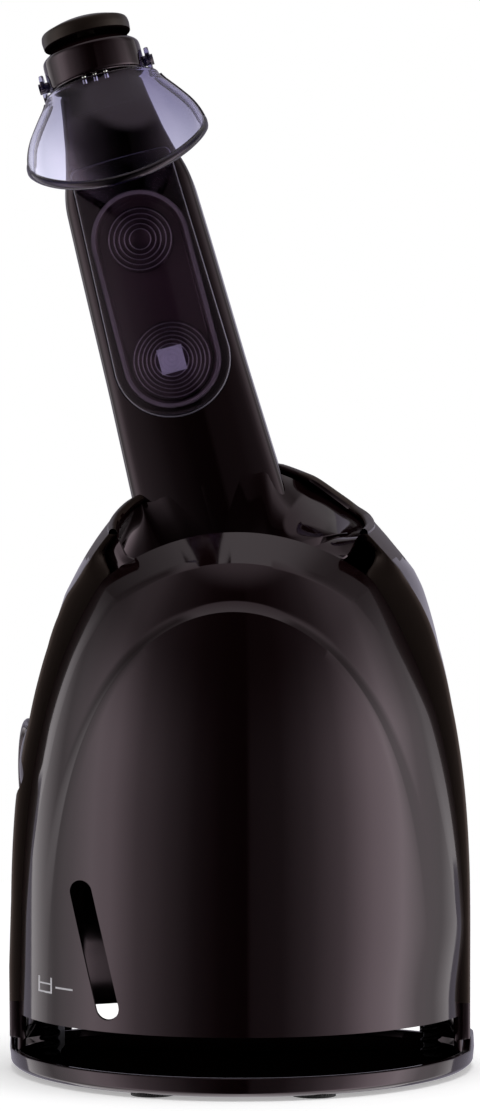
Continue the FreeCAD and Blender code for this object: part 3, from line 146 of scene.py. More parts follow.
def head_place(points):
    """Points of the head's frame, the arm's moved to the collar's foot, in the part's own."""
    return arm_place(np.asarray(points) + np.asarray(HEAD_SPOT))


def smooth(value, low, high):
    """0 below low, 1 above high and a smooth step between."""
    t = np.clip((value - low) / (high - low), 0, 1)
    return t * t * (3 - 2 * t)


def rows(*columns):
    """Coordinates stacked into an array of points, each broadcast to the same shape."""
    return np.stack(np.broadcast_arrays(*[np.asarray(c, float) for c in columns]), axis=-1)


def circle(radius, count):
    """A circle's outline of (across, up): cosine and sine times the radius."""
    angle = np.linspace(0, 2 * math.pi, count, endpoint=False)
    return rows(radius * np.cos(angle), radius * np.sin(angle))


def ball_radius(half, rise):
    """The radius of the ball of which a cap is half so wide and rises so much: Pythagoras."""
    return (half ** 2 + rise ** 2) / (2 * rise)


# ---- meshes ----

def grid_quads(lines, columns, wrap_rows=False, wrap_cols=False, start=0):
    """Index quads of a grid of points, row by row; a wrapped side joins its last line to its first."""
    index = start + np.arange(lines * columns).reshape(lines, columns)
    if wrap_rows:
        index = np.vstack([index, index[:1]])
    if wrap_cols:
        index = np.hstack([index, index[:, :1]])
    corners = [index[:-1, :-1], index[:-1, 1:], index[1:, 1:], index[1:, :-1]]
    return np.stack(corners, axis=-1).reshape(-1, 4)


def shade(mesh, sharp):
    """Smooth faces with creases where they meet at more than so many degrees."""
    mesh.polygons.foreach_set("use_smooth", [True] * len(mesh.polygons))
    mesh.set_sharp_from_angle(angle=math.radians(sharp))


def make_mesh(name, points, quads, sharp=40, weld=0.002):
    """A mesh from points in millimetres and quads; doubles are welded and faces turned outwards."""
    mesh = bpy.data.meshes.new(name)
    mesh.from_pydata((np.asarray(points) * MM).tolist(), [], np.asarray(quads).tolist())
    work = bmesh.new()
    work.from_mesh(mesh)
    bmesh.ops.remove_doubles(work, verts=work.verts, dist=weld * MM)
    bmesh.ops.dissolve_degenerate(work, edges=work.edges, dist=weld * MM / 2)
    bmesh.ops.recalc_face_normals(work, faces=work.faces)
    work.to_mesh(mesh)
    work.free()
    shade(mesh, sharp)
    return mesh


def add_piece(name, mesh, body, slot, material, replaced=()):
    """Puts a mesh in the scene as a piece that rides on a body and stands for CAD nodes."""
    thing = bpy.data.objects.new(name, mesh)
    bpy.context.scene.collection.objects.link(thing)
    mesh.materials.clear()
    mesh.materials.append(material)
    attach(thing, body)
    if replaced:
        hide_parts(*replaced)
    return thing


def shell_parts(outer, inner, wrap=False, bulge=None, folded=False):
    """Points and quads of a closed wall between two grids; open sides are closed by strips.

    A strip is straight, or with a bulge a half ellipse: the middle of the two edges, plus the cosine times
    half the wall, plus the sine times the bulge. A folded grid's last line meets itself and is welded, so
    it takes no strip."""
    outer, inner = np.asarray(outer), np.asarray(inner)
    lines, columns = outer.shape[:2]
    points = np.concatenate([outer.reshape(-1, 3), inner.reshape(-1, 3)])
    quads = [grid_quads(lines, columns, wrap_rows=wrap)]
    quads.append(grid_quads(lines, columns, wrap_rows=wrap, start=lines * columns)[:, ::-1])
    borders = [(outer[:, 0], inner[:, 0], wrap), (outer[:, -1], inner[:, -1], wrap)]
    if not wrap:
        borders += [(outer[0], inner[0], False), (outer[-1], inner[-1], False)]
    for number, (edge_out, edge_in, closed) in enumerate(borders):
        if folded and number == 1:
            continue
        lift = None if bulge is None else bulge[number]
        if lift is None:
            share = np.linspace(0, 1, 2)[:, None, None]
            strip = edge_out[None] * (1 - share) + edge_in[None] * share
        else:
            angle = np.linspace(0, 1, 9)[:, None, None] * math.pi
            middle = (edge_out + edge_in)[None] / 2
            strip = middle + np.cos(angle) * (edge_out - edge_in)[None] / 2 + np.sin(angle) * lift[None]
        quads.append(grid_quads(*strip.shape[:2], wrap_cols=closed, start=len(points)))
        points = np.concatenate([points, strip.reshape(-1, 3)])
    return points, np.concatenate(quads)


def lathe(profile, count=96):
    """Points and quads of a closed profile of (radius, height) turned about Z."""
    profile = np.asarray(profile, float)
    angle = np.linspace(0, 2 * math.pi, count, endpoint=False)[:, None]
    points = rows(profile[None, :, 0] * np.cos(angle), profile[None, :, 0] * np.sin(angle),
                  profile[None, :, 1] + 0 * angle)
    return points.reshape(-1, 3), grid_quads(count, len(profile), wrap_rows=True)


def rounded(profile, radius, steps=5):
    """A profile with each inner corner cut back by the radius and rounded by a quadratic arc."""
    profile = np.asarray(profile, float)
    out = [profile[0]]
    for before, here, after in zip(profile[:-2], profile[1:-1], profile[2:]):
        back, ahead = before - here, after - here
        reach = min(radius, np.linalg.norm(back) / 2.05, np.linalg.norm(ahead) / 2.05)
        start = here + back / np.linalg.norm(back) * reach
        end = here + ahead / np.linalg.norm(ahead) * reach
        for t in np.linspace(0, 1, steps):
            out.append((1 - t) ** 2 * start + 2 * t * (1 - t) * here + t * t * end)
    out.append(profile[-1])
    return np.array(out)


def normals_of(grid):
    """Unit normals of a grid of points by central differences."""
    du = np.gradient(grid, axis=0)
    dv = np.gradient(grid, axis=1)
    normal = np.cross(du, dv)
    return normal / np.maximum(np.linalg.norm(normal, axis=-1, keepdims=True), 1e-9)


# ---- materials ----

def linear(hex_colour):
    """An sRGB hex colour as linear red, green, blue and 1."""
    values = [int(hex_colour[i:i + 2], 16) / 255 for i in (1, 3, 5)]
    return [v / 12.92 if v <= 0.04045 else ((v + 0.055) / 1.055) ** 2.4 for v in values] + [1.0]


def add_node(tree, kind, settings=None, inputs=None):
    """One shader node with its settings and inputs, which are named or numbered.

    An input takes a value, another node's socket, or another node, whose first output it then takes."""
    node = tree.nodes.new("ShaderNode" + kind)
    for key, value in (settings or {}).items():
        setattr(node, key, value)
    for key, value in (inputs or {}).items():
        value = value.outputs[0] if isinstance(value, bpy.types.Node) else value
        if isinstance(value, bpy.types.NodeSocket):
            tree.links.new(value, node.inputs[key])
        else:
            node.inputs[key].default_value = value
    return node


def new_material(name):
    """A material with an empty tree, its output's surface and the Object coordinates."""
    material = bpy.data.materials.new(name)
    material.use_nodes = True
    tree = material.node_tree
    tree.nodes.clear()
    out = add_node(tree, "OutputMaterial")
    where = add_node(tree, "TexCoord").outputs["Object"]
    return material, tree, out.inputs["Surface"], where


HAZE, HAZE_MM = 0.03, 12     # how much, and over which length, a moulded skin's gloss changes
WAVE_HEIGHT_MM = 0.1         # the bump's full height, of which a piece's peel is the share that shows


def plastic(name, colour, roughness, peel=0.02, grain_mm=3.0, specular=0.5, tint="#ffffff", glow=0.0):
    """Moulded plastic: one body colour, a faint waviness of the moulded skin and uneven gloss.

    The waves are as far apart as the mould's grain in millimetres, and the gloss changes over HAZE_MM."""
    material, tree, surface, where = new_material(name)
    wave = add_node(tree, "TexNoise", inputs={"Vector": where, "Scale": 1 / (grain_mm * MM), "Detail": 2.0})
    haze = add_node(tree, "TexNoise", inputs={"Vector": where, "Scale": 1 / (HAZE_MM * MM), "Detail": 3.0})
    rough = add_node(tree, "MapRange", inputs={
        "Value": haze, "To Min": max(0.02, roughness - HAZE), "To Max": roughness + HAZE})
    bump = add_node(tree, "Bump", inputs={
        "Height": wave, "Strength": peel, "Distance": WAVE_HEIGHT_MM * MM})
    # a glow is painted light: an emission of the body colour, for a part that is no lamp
    shader = add_node(tree, "BsdfPrincipled", inputs={
        "Roughness": rough, "Normal": bump, "Base Color": linear(colour),
        "IOR": 1.5, "Specular IOR Level": specular, "Specular Tint": linear(tint),
        "Emission Color": linear(colour), "Emission Strength": glow})
    tree.links.new(shader.outputs["BSDF"], surface)
    return material


DRAW_MARK_MM = 0.4       # between streaks: coarser than real ones, which a render this size can't show


def metal(name, colour, roughness):
    """Drawn or plated metal: its colour, with the draw marks as fine streaks in the roughness."""
    material, tree, surface, where = new_material(name)
    streak = add_node(tree, "TexNoise", inputs={
        "Vector": where, "Scale": 1 / (DRAW_MARK_MM * MM), "Detail": 4.0})
    rough = add_node(tree, "MapRange", inputs={
        "Value": streak, "To Min": roughness * 0.7, "To Max": roughness * 1.4})
    shader = add_node(tree, "BsdfPrincipled", inputs={
        "Roughness": rough, "Metallic": 1.0, "Base Color": linear(colour)})
    tree.links.new(shader.outputs["BSDF"], surface)
    return material


FLOW_MARK_MM = 6         # between the faint waves where the melt filled the mould


def smoked(name, colour, dark):
    """Clear moulded acrylic with a smoke tint: light passes through and takes the tint.

    The tint goes from the colour to the dark one by the share of the way from the hood's hem to its neck."""
    material, tree, surface, where = new_material(name)
    axis = (np.array(HOOD_NECK) - np.array(HOOD_HEM)) * MM
    reach = add_node(tree, "VectorMath", {"operation": "SUBTRACT"}, {
        0: where, 1: tuple(np.array(HOOD_HEM) * MM)})
    share = add_node(tree, "VectorMath", {"operation": "DOT_PRODUCT"}, {
        0: reach, 1: tuple(axis / (axis @ axis))})
    # the dark end of the tint is painted shade towards the hood's neck
    tint = add_node(tree, "Mix", {"data_type": "RGBA"}, {
        0: share.outputs["Value"], 6: linear(colour), 7: linear(dark)})
    wave = add_node(tree, "TexNoise", inputs={
        "Vector": where, "Scale": 1 / (FLOW_MARK_MM * MM), "Detail": 1.0})
    bump = add_node(tree, "Bump", inputs={
        "Height": wave, "Strength": 0.01, "Distance": WAVE_HEIGHT_MM * MM})
    shader = add_node(tree, "BsdfPrincipled", inputs={
        "Roughness": 0.02, "IOR": 1.45, "Normal": bump, "Base Color": tint.outputs[2],
        "Specular Tint": linear("#ffe6f4"), "Transmission Weight": 1.0})
    tree.links.new(shader.outputs["BSDF"], surface)
    return material


# Polished mould: deep black with a warm tinge, mirrors the soft boxes at both sides.
GLOSS = plastic("gloss_abs_aubergine_black", "#0d0405", 0.07, tint="#ffe2ee")
# The same, but it mirrors less, so the arm is darker than the housing.
ARM_GLOSS = plastic("gloss_abs_arm_black", "#0d0405", 0.07, specular=0.36, tint="#ffe2ee")
# Finely etched mould: a broad, soft highlight.
SATIN = plastic("satin_abs_black", "#1d1718", 0.38, peel=0.15, grain_mm=0.5)
# Coarser etched mould: hardly a highlight.
MATTE = plastic("matte_moulded_black", "#141213", 0.5, peel=0.2, grain_mm=0.4)
# Black rubber: dull, with no mirror image at all.
RUBBER = plastic("moulded_rubber", "#1a1a1a", 0.7, peel=0.3, grain_mm=0.3)
# Natural polyethylene: pale and waxy.
TUBE = plastic("milky_polyethylene", "#c9c7bf", 0.4)
# Green solder mask: the sheen of a lacquer.
BOARD = plastic("coated_circuit_board", "#17452a", 0.35)
# Frosted acrylic with a painted glow: a faint emission of its own colour stands for the light it spreads,
# though it is no lamp.
PAINTED_GLOW_GUIDE = plastic("frosted_light_guide_painted_glow", "#c9c3e6", 0.3, glow=0.16)
# Pad-printed ink: flat and pale.
PRINT = plastic("pad_printed_grey", "#d2d0d5", 0.45)
# Drawn wire and screw heads: grey with a long highlight.
STEEL = metal("drawn_spring_steel", "#a9a9ad", 0.3)
# Nickel plate: bright, with a small sharp highlight.
CONTACT = metal("plated_contact_metal", "#dcdad4", 0.15)
# Clear violet acrylic: the backdrop shows through; painted shade darkens it towards the neck, beside the arm.
HOOD = smoked("smoked_violet_acrylic", "#e0dff9", "#736d94")
# Painted shade: the same acrylic tinted nearly black, for the hem's bead and the hinge pins, as clear acrylic
# looks dark seen along its thickness.
EDGE_PAINTED_SHADE = smoked("smoked_violet_acrylic_painted_dark_edge", "#1f1b2e", "#151222")
# Grey violet acrylic of one tint: the tray and the rings show through.
WINDOW = smoked("dark_smoked_acrylic", "#d8cbd9", "#d8cbd9")
# Finely etched mould: brown black, and its edges catch a soft light.
CAP = plastic("satin_abs_brown_black", "#1d1613", 0.36, peel=0.1, grain_mm=0.6, specular=0.25, tint="#ffe8dc")
# A rough black that mirrors nothing: painted shade on the deck and the cap's underside, and the contact block's
# own matte black.
MATTE_AND_SHADE_BLACK = plastic("matte_black_and_painted_shade", "#0d0708", 0.8, peel=0.3, grain_mm=0.8, specular=0.0)
# Light tray: lighter than the arm, so it stands out behind the window.
TRAY = plastic("moulded_light_tray", "#5c4853", 0.3, tint="#ffe2ee")
# Ring lens between its ridges: a little darker than the tray.
LENS = plastic("moulded_ring_lens", "#4a3a45", 0.25, tint="#ffe2ee")
# Painted highlight: the lens ridges' tops take a pale metal, so that they show as fine bright rings.
RING_PAINTED_HIGHLIGHT = metal("lens_ridge_painted_highlight", "#dcd4e2", 0.3)
# Painted highlight: a pale line round the tray's polished lip, for the soft light it catches.
LIP_PAINTED_HIGHLIGHT = plastic("tray_lip_painted_highlight", "#c4bac8", 0.25)
# Painted highlight: an opaque grey line round the window, for the light its polished chamfer catches.
CHAMFER_PAINTED_HIGHLIGHT = plastic("acrylic_chamfer_painted_highlight", "#7d7686", 0.15)
# Painted shade: the rear housing's rim is satin brown black, standing for the dark the gloss mirrors there,
# without the mirror images of its sides.
RIM_PAINTED_SHADE = plastic("satin_rim_painted_shade", "#1b1310", 0.42, peel=0.1, grain_mm=0.6, tint="#ffe2d6")
# Painted shade: the spring wire made nearly black, so that it stays dark in the bay against the light from
# behind.
STEEL_PAINTED_SHADE = metal("spring_steel_painted_shade", "#1b191a", 0.4)

SLOT_MATERIALS = {"gloss_black": GLOSS, "satin_black": SATIN, "matte_black": MATTE, "smoked_clear": HOOD,
                  "foot_rubber": RUBBER, "spring_steel": STEEL, "tube_plastic": TUBE, "board": BOARD,
                  "contact_metal": CONTACT, "light_white": PAINTED_GLOW_GUIDE}


def dress_nodes():
    """Every CAD node takes the material of its slot in the record."""
    for part in frame["record"]["subparts"]:
        node = frame["nodes"][part["node"]]
        node.data.materials.clear()
        node.data.materials.append(SLOT_MATERIALS[part["material_slot"]])
        node.data.polygons.foreach_set("use_smooth", [False] * len(node.data.polygons))


# ---- the dome ----

def arch(z, crown):
    """How much a level of the dome has shrunk: the root of 1 minus height share to a power."""
    share = np.clip((z - SPRING_LINE) / (crown - SPRING_LINE), 0, 0.9999)
    return np.sqrt(1 - share ** ARCH_POWER)


def face_y(x, z, crown=CROWN, out=0.0):
    """Y of the front dome at a place in the front view: an ellipse in plan, shrunk by the arch."""
    shrink = arch(z, crown)
    across = np.clip(x / ((HALF_WIDTH + out) * shrink), -0.9999, 0.9999)
    return PLAN_CENTRE - (FRONT_REACH + out) * shrink * np.sqrt(1 - across ** 2)


def seam_y(z):
    """Y of the leaning seam between the two shells."""
    return SEAM_FOOT - SEAM_LEAN * (z - FRONT_BOTTOM)


def seam_x(z):
    """Half the front shell's width where the dome meets the seam."""
    shrink = arch(z, CROWN)
    depth = np.clip((PLAN_CENTRE - seam_y(z)) / (FRONT_REACH * shrink), 0, 0.9999)
    return HALF_WIDTH * shrink * np.sqrt(1 - depth ** 2)


def resample(curve, count):
    """A curve's points respaced evenly along its length."""
    steps = np.linalg.norm(np.diff(curve, axis=0), axis=1)
    length = np.concatenate([[0], np.cumsum(steps)])
    at = np.linspace(0, length[-1], count)
    return np.stack([np.interp(at, length, curve[:, k]) for k in range(curve.shape[1])], axis=1)


# ---- front shell ----

def front_outline(count):
    """Left half of the front shell's edge as (x, y, z): up the seam, then over the lip's arc."""
    z = np.linspace(FRONT_BOTTOM, 150, 400)
    gap = LIP_CENTRE + np.sqrt(np.maximum(LIP_RADIUS ** 2 - seam_x(z) ** 2, 0)) - z
    join = np.interp(0, -gap[z > 120], z[z > 120])
    z_side = np.linspace(FRONT_BOTTOM, join, 200)
    side = rows(-seam_x(z_side), seam_y(z_side), z_side)
    start = math.asin(seam_x(join) / LIP_RADIUS)
    angle = np.linspace(start, 0, 120)[1:]
    fall = (angle / start) ** 2
    top = rows(-LIP_RADIUS * np.sin(angle), LIP_DEPTH + (seam_y(join) - LIP_DEPTH) * fall,
               LIP_CENTRE + LIP_RADIUS * np.cos(angle))
    return resample(np.concatenate([side, top]), count)


def panel_outline(count, inset=0.0):
    """Left half of the raised panel's arch: x = width times root(1 - (z / height) ^ 3.2)."""
    width, height = PANEL_HALF - inset, PANEL_TOP + PANEL_RAMP - 1.15 * inset
    angle = np.linspace(0, math.pi / 2, 400)
    z = FRONT_BOTTOM + (height - FRONT_BOTTOM) * np.sin(angle)
    x = -width * np.sqrt(np.maximum(1 - (z / height) ** 3.2, 0))
    return resample(rows(x, 0 * x, z), count)


def on_face(flat, lift):
    """Points of (x, z) laid on the dome; a lift takes them to the raised dome, from the foot up."""
    x, z = flat.T
    base = face_y(x, z)
    raised = face_y(x, z, CROWN + PANEL_RISE, 0.3)
    return rows(x, base + (raised - base) * lift * smooth(z, 40, 85), z)


def front_shell_grid():
    """The front shell's outside: bevel band, face, ramp and raised panel between nested arches.

    Each line is a share of the way from one arch to the next; the right edge swells by a cube of x."""
    half = 150
    edge = front_outline(half)
    tangent = np.gradient(edge[:, [0, 2]], axis=0)
    tangent /= np.linalg.norm(tangent, axis=1, keepdims=True)
    inward = np.stack([tangent[:, 1], -tangent[:, 0]], axis=1)
    z = edge[:, 2]
    band = (5.0 + 3.6 * smooth(z, 118, 150)) * np.clip((z - 20) / 70, 0.02, 1) ** 0.9
    crease = edge[:, [0, 2]] + inward * band[:, None]
    crease_line = on_face(crease, 0)
    foot = panel_outline(half)[:, [0, 2]]
    top = panel_outline(half, PANEL_RAMP)[:, [0, 2]]
    spine = rows(np.zeros(half), FRONT_BOTTOM + 80 * np.linspace(0, 1, half))
    lines = [edge * (1 - share) + crease_line * share for share in np.linspace(0, 1, 5)[:-1]]
    lines += [on_face(crease * (1 - share) + foot * share, 0) for share in np.linspace(0, 1, 26)[:-1]]
    lines += [on_face(foot * (1 - share) + top * share, share ** 1.8) for share in np.linspace(0, 1, 9)[:-1]]
    lines += [on_face(top * (1 - share) + spine * share, 1) for share in np.linspace(0, 1, 34) ** 0.85]
    left = np.stack(lines, axis=1)
    right = left[::-1] * np.array([-1, 1, 1])
    middle_height = smooth(right[..., 2], 20, 45) * (1 - smooth(right[..., 2], 100, 128))
    right[..., 0] += 1.7 * middle_height * (right[..., 0] / 60) ** 3
    return np.concatenate([left, right[1:]], axis=0)


def make_front_shell():
    """The outside with a wall along its normals, thinned over the bevel band, less the level slot."""
    outer = front_shell_grid()
    normal = normals_of(outer)
    normal *= np.where(normal[..., 1:2] > 0, -1, 1)
    inner = outer - normal * SHELL_WALL
    middle = np.array([0, 0, 80.0])
    edge_in = outer[:, 0] + (middle - outer[:, 0]) * np.array([0.04, 0, 0.02])
    inner[:, 0] = edge_in
    wall = (inner[:, 5:6] - outer[:, 5:6]) * 0.6
    inner[:, 1:5] = outer[:, 1:5] + wall + (edge_in - outer[:, 0])[:, None] * 0.4
    inner[..., 2] = np.maximum(inner[..., 2], FRONT_BOTTOM)
    points, quads = shell_parts(outer, inner, folded=True)
    shell = carve(make_mesh("front_shell_skin", points, quads, sharp=24), slot_cutter(), sharp=24)
    add_piece("front_shell_skin", shell, "housing", "gloss_black", GLOSS, ["front_shell"])


# ---- rear housing ----

def bowl_half(w):
    """Half the bowl's width along the arm: a quarter sine from foot to mouth, to the power 0.8."""
    return 22 + 22 * np.sin(math.pi / 2 * np.clip((w - BOWL_FOOT) / 76, 0, 1)) ** 0.8


def bowl_reach(w):
    """Half the bowl's depth along the arm: a quarter sine that is full sooner."""
    return 12 + 6.5 * np.sin(math.pi / 2 * np.clip((w - BOWL_FOOT) / 45, 0, 1))


def blunt_reach(z):
    """The sides' reach to the front: plain on the skirt, then nearly straight, less so to the top."""
    broad = BLUNT_REACH + 300 * (1 - smooth(z, 98, 142))
    return FRONT_REACH + (broad - FRONT_REACH) * smooth(z, SKIRT_TOP - SKIRT_STEP, SKIRT_TOP)


def rear_point(side, z):
    """Rear housing's outside: side runs from -1, the left rim, through 0, the back, to 1.

    In plan it is a half ellipse behind the widest line and a flatter one before it; the left half is drawn
    in and the right half out at some heights, by the sine of the angle from the back."""
    shrink, shrink_back = arch(z, CROWN), arch(z, BACK_CROWN)
    ahead_reach = blunt_reach(z) * shrink
    most = math.pi / 2 + np.arcsin(np.clip((PLAN_CENTRE - seam_y(z) - 0.3) / ahead_reach, 0, 1))
    angle = side * most
    reach = np.where(np.cos(angle) > 0, BACK_REACH * shrink_back, ahead_reach)
    x = HALF_WIDTH * shrink * np.sin(angle)
    x = x - np.interp(z, *DRAWN_IN) * np.minimum(np.sin(angle), 0)
    x = x + np.interp(z, *DRAWN_OUT) * np.maximum(np.sin(angle), 0)
    return rows(x, PLAN_CENTRE + reach * np.cos(angle), z)


def wing_height(side, y):
    """Height of the wings' rim at a depth: low from the lobe back, then up to the arm."""
    return np.where(side > 0, np.interp(y, *RIGHT_WING), np.interp(y, *LEFT_WING))


def plain_inside(outer, wall):
    """The wall's inside at the same heights: the plain dome moved in by the wall."""
    x, y, z = outer[..., 0], outer[..., 1], outer[..., 2]
    shrink, shrink_back = arch(z, CROWN), arch(z, BACK_CROWN)
    ahead = y < PLAN_CENTRE
    reach = np.where(ahead, FRONT_REACH * shrink, BACK_REACH * shrink_back) - wall
    depth = np.clip(np.abs(y - PLAN_CENTRE) / np.maximum(reach, 1), 0, 0.98)
    x_ahead = np.sign(x) * np.maximum(HALF_WIDTH * shrink - wall, 1) * np.sqrt(1 - depth ** 2)
    radial = outer - np.stack([np.zeros_like(x), np.full_like(x, PLAN_CENTRE), z], axis=-1)
    length = np.maximum(np.linalg.norm(radial, axis=-1, keepdims=True), 1e-6)
    return np.where(ahead[..., None], np.stack([x_ahead, y, z], axis=-1), outer - radial / length * wall)


def front_rim(middle, normal):
    """The rim faces that look to the front beside the front shell, and the low wings' rounded rim, which take
    the painted shade.
    """
    x, y, z = middle.T
    ahead = (normal[:, 1] < -0.55) & (np.abs(y - seam_y(z)) < 5) & (z > 20)
    over = (normal[:, 2] > 0.5) & (z > 146) & (y < 34)
    return ahead | over


def make_rear_housing():
    """The rear wall up to the wings' rim, thicker at the rim, with its holes.

    Each upright's top is the first level above the wings' height there, evened out along the rim."""
    side = np.linspace(-1, 1, 281)
    levels = np.linspace(145, 175, 500)
    test = rear_point(side[:, None], levels[None, :])
    over = test[..., 2] > wing_height(side[:, None], test[..., 1])
    top = np.where(over.any(axis=1), levels[np.argmax(over, axis=1)], levels[-1])
    for _ in range(10):
        top[1:-1] = (top[:-2] + 2 * top[1:-1] + top[2:]) / 4
    share = np.linspace(0, 1, 110) ** 0.9
    z = REAR_BOTTOM + (top[:, None] - REAR_BOTTOM) * share[None, :]
    z[:, 2:4] = [SKIRT_TOP - SKIRT_STEP, SKIRT_TOP]
    z[:, 1] = (REAR_BOTTOM + SKIRT_TOP) / 2
    z[:, 4:] = np.maximum(z[:, 4:], SKIRT_TOP + SKIRT_STEP + 0.02 * np.arange(z.shape[1] - 4)[None, :])
    outer = rear_point(side[:, None] + 0 * z, z)
    radial = outer - rows(0 * z, PLAN_CENTRE, z)
    radial /= np.maximum(np.linalg.norm(radial, axis=-1, keepdims=True), 1e-6)
    rim_wall = 3.3
    thick = outer - radial * rim_wall
    near_rim = smooth(z, top[:, None] - 14, top[:, None] - 4)[..., None]
    inner = plain_inside(outer, SHELL_WALL) * (1 - near_rim) + thick * near_rim
    top_lift = np.zeros_like(outer[:, -1]) + np.array([0, 0, 1.5])
    front_lift = np.zeros_like(outer[0]) + np.array([0, -0.9, 0])
    points, quads = shell_parts(outer, inner, bulge=[None, top_lift, front_lift, front_lift])
    mesh = make_mesh("rear_housing_skin", points, quads, sharp=38, weld=0.02)
    bore = round_cutter(14.05, -14, 14, button_place)
    notch = make_mesh("cutter", *bar((-51.5, PLAN_CENTRE, 0), (51.5, 90, 13.5)))
    inlet = prism(stadium_flat(17.6, 10.6, 12.0, 75.0), 40, 70, np.asarray)
    mesh = carve(mesh, bore, notch, inlet, sharp=38)
    housing = add_piece("rear_housing_skin", mesh, "housing", "gloss_black", GLOSS, ["rear_housing"])
    # painted shade on the rim faces that look to the front and over the wings
    second_finish(housing, RIM_PAINTED_SHADE, front_rim)


def stadium_flat(width, height, x, z):
    """A level round-ended outline of (across, up) about a middle."""
    ring = stadium_outline(height / 2, -(width - height) / 2, (width - height) / 2)
    return rows(x + ring[:, 1], z - ring[:, 0])


# ---- closed forms ----

def capped(grid):
    """A grid of closed rings with its first and last ring closed by rows drawn to their middles."""
    first, last = grid[:1].mean(axis=1, keepdims=True), grid[-1:].mean(axis=1, keepdims=True)
    return np.concatenate([np.broadcast_to(first, grid[:1].shape), grid,
                           np.broadcast_to(last, grid[:1].shape)])


def ring_solid(name, grid, sharp=35, weld=0.002, cap=True):
    """A closed mesh from rings of points, capped at both ends or drawn together there already."""
    grid = capped(grid) if cap else grid
    quads = grid_quads(grid.shape[0], grid.shape[1], wrap_cols=True)
    return make_mesh(name, grid.reshape(-1, 3), quads, sharp, weld)


def bar(low, high):
    """Points and quads of a plain block between two corners, for cutting."""
    corners = rows(*[[(low, high)[(i >> k) & 1][k] for i in range(8)] for k in range(3)])
    quads = np.array([(0, 2, 3, 1), (4, 5, 7, 6), (0, 1, 5, 4), (2, 6, 7, 3), (0, 4, 6, 2), (1, 3, 7, 5)])
    return corners, quads


def prism(outline, near, far, lay):
    """A prism over a closed outline of (across, up) between two depths; lay puts its points in place."""
    across, up = np.asarray(outline).T
    return ring_solid("cutter", np.stack([lay(rows(across, depth, up)) for depth in (near, far)]))


def stadium_outline(radius, low, high, count=24):
    """A round-ended outline of (across, up) whose end circles lie at two heights."""
    angle = np.linspace(0, math.pi, count)
    top = rows(radius * np.cos(angle), high + radius * np.sin(angle))
    foot = rows(-radius * np.cos(angle), low - radius * np.sin(angle))
    return np.concatenate([top, foot])


def carve(mesh, *cutters, sharp=35):
    """The mesh less its cutters, which are deleted."""
    scene = bpy.context.scene.collection.objects
    base = bpy.data.objects.new("carved", mesh)
    scene.link(base)
    tools = []
    for cutter in cutters:
        tool = bpy.data.objects.new("cutter", cutter)
        scene.link(tool)
        step = base.modifiers.new("cut", "BOOLEAN")
        step.operation, step.solver, step.object = "DIFFERENCE", "EXACT", tool
        tools.append(tool)
    bpy.context.view_layer.update()
    result = bpy.data.meshes.new_from_object(base.evaluated_get(bpy.context.evaluated_depsgraph_get()))
    result.name = mesh.name + "_carved"
    for spent in [base] + tools:
        bpy.data.objects.remove(spent)
    for spent in [mesh] + list(cutters):
        bpy.data.meshes.remove(spent)
    shade(result, sharp)
    return result


def copy_node(node, body, slot, material):
    """A CAD node's mesh with its doubles merged and its round faces shaded smooth."""
    mesh = frame["nodes"][node].data.copy()
    mesh.name = node + "_skin"
    work = bmesh.new()
    work.from_mesh(mesh)
    bmesh.ops.remove_doubles(work, verts=work.verts, dist=0.002 * MM)
    work.to_mesh(mesh)
    work.free()
    shade(mesh, 32)
    add_piece(node + "_skin", mesh, body, slot, material, [node])


def second_finish(thing, material, chosen):
    """Gives the faces picked by chosen(middles in millimetres, normals) a second material."""
    mesh = thing.data
    mesh.materials.append(material)
    middle, normal = (np.zeros(len(mesh.polygons) * 3) for _ in range(2))
    mesh.polygons.foreach_get("center", middle)
    mesh.polygons.foreach_get("normal", normal)
    picked = chosen(middle.reshape(-1, 3) / MM, normal.reshape(-1, 3))
    mesh.polygons.foreach_set("material_index", picked.astype(int).tolist())


def turned_piece(name, profile, lay, body, slot, material, replaced, sharp=35):
    """A piece turned about the frame's upright axis from a closed (radius, height) profile."""
    points, quads = lathe(profile)
    return add_piece(name, make_mesh(name, lay(points), quads, sharp), body, slot, material, replaced)


def round_cutter(radius, near, far, lay):
    """A short cylinder between two levels of a frame, put in place by lay."""
    ring = circle(radius, 96)
    return ring_solid("cutter", np.stack([lay(rows(ring[:, 0], ring[:, 1], level)) for level in (near, far)]))


# ---- arm ----

def crown_drop(u):
    """How far the arm's front falls back beside its middle: the sagitta of the crown's circle."""
    return ARM_CROWN - np.sqrt(ARM_CROWN ** 2 - np.minimum(np.abs(u), 30) ** 2)


def arm_front_point(u, depth, w):
    """A place in the part's frame at a depth behind the arm's front plane."""
    return arm_place(rows(u, depth - ARM_FRONT, w))


def arm_side(w):
    """Half the arm's width, its table evened out by the mean of four places."""
    return np.stack([np.interp(w + step, *ARM_SIDES) for step in (-3, -1, 1, 3)]).mean(axis=0)


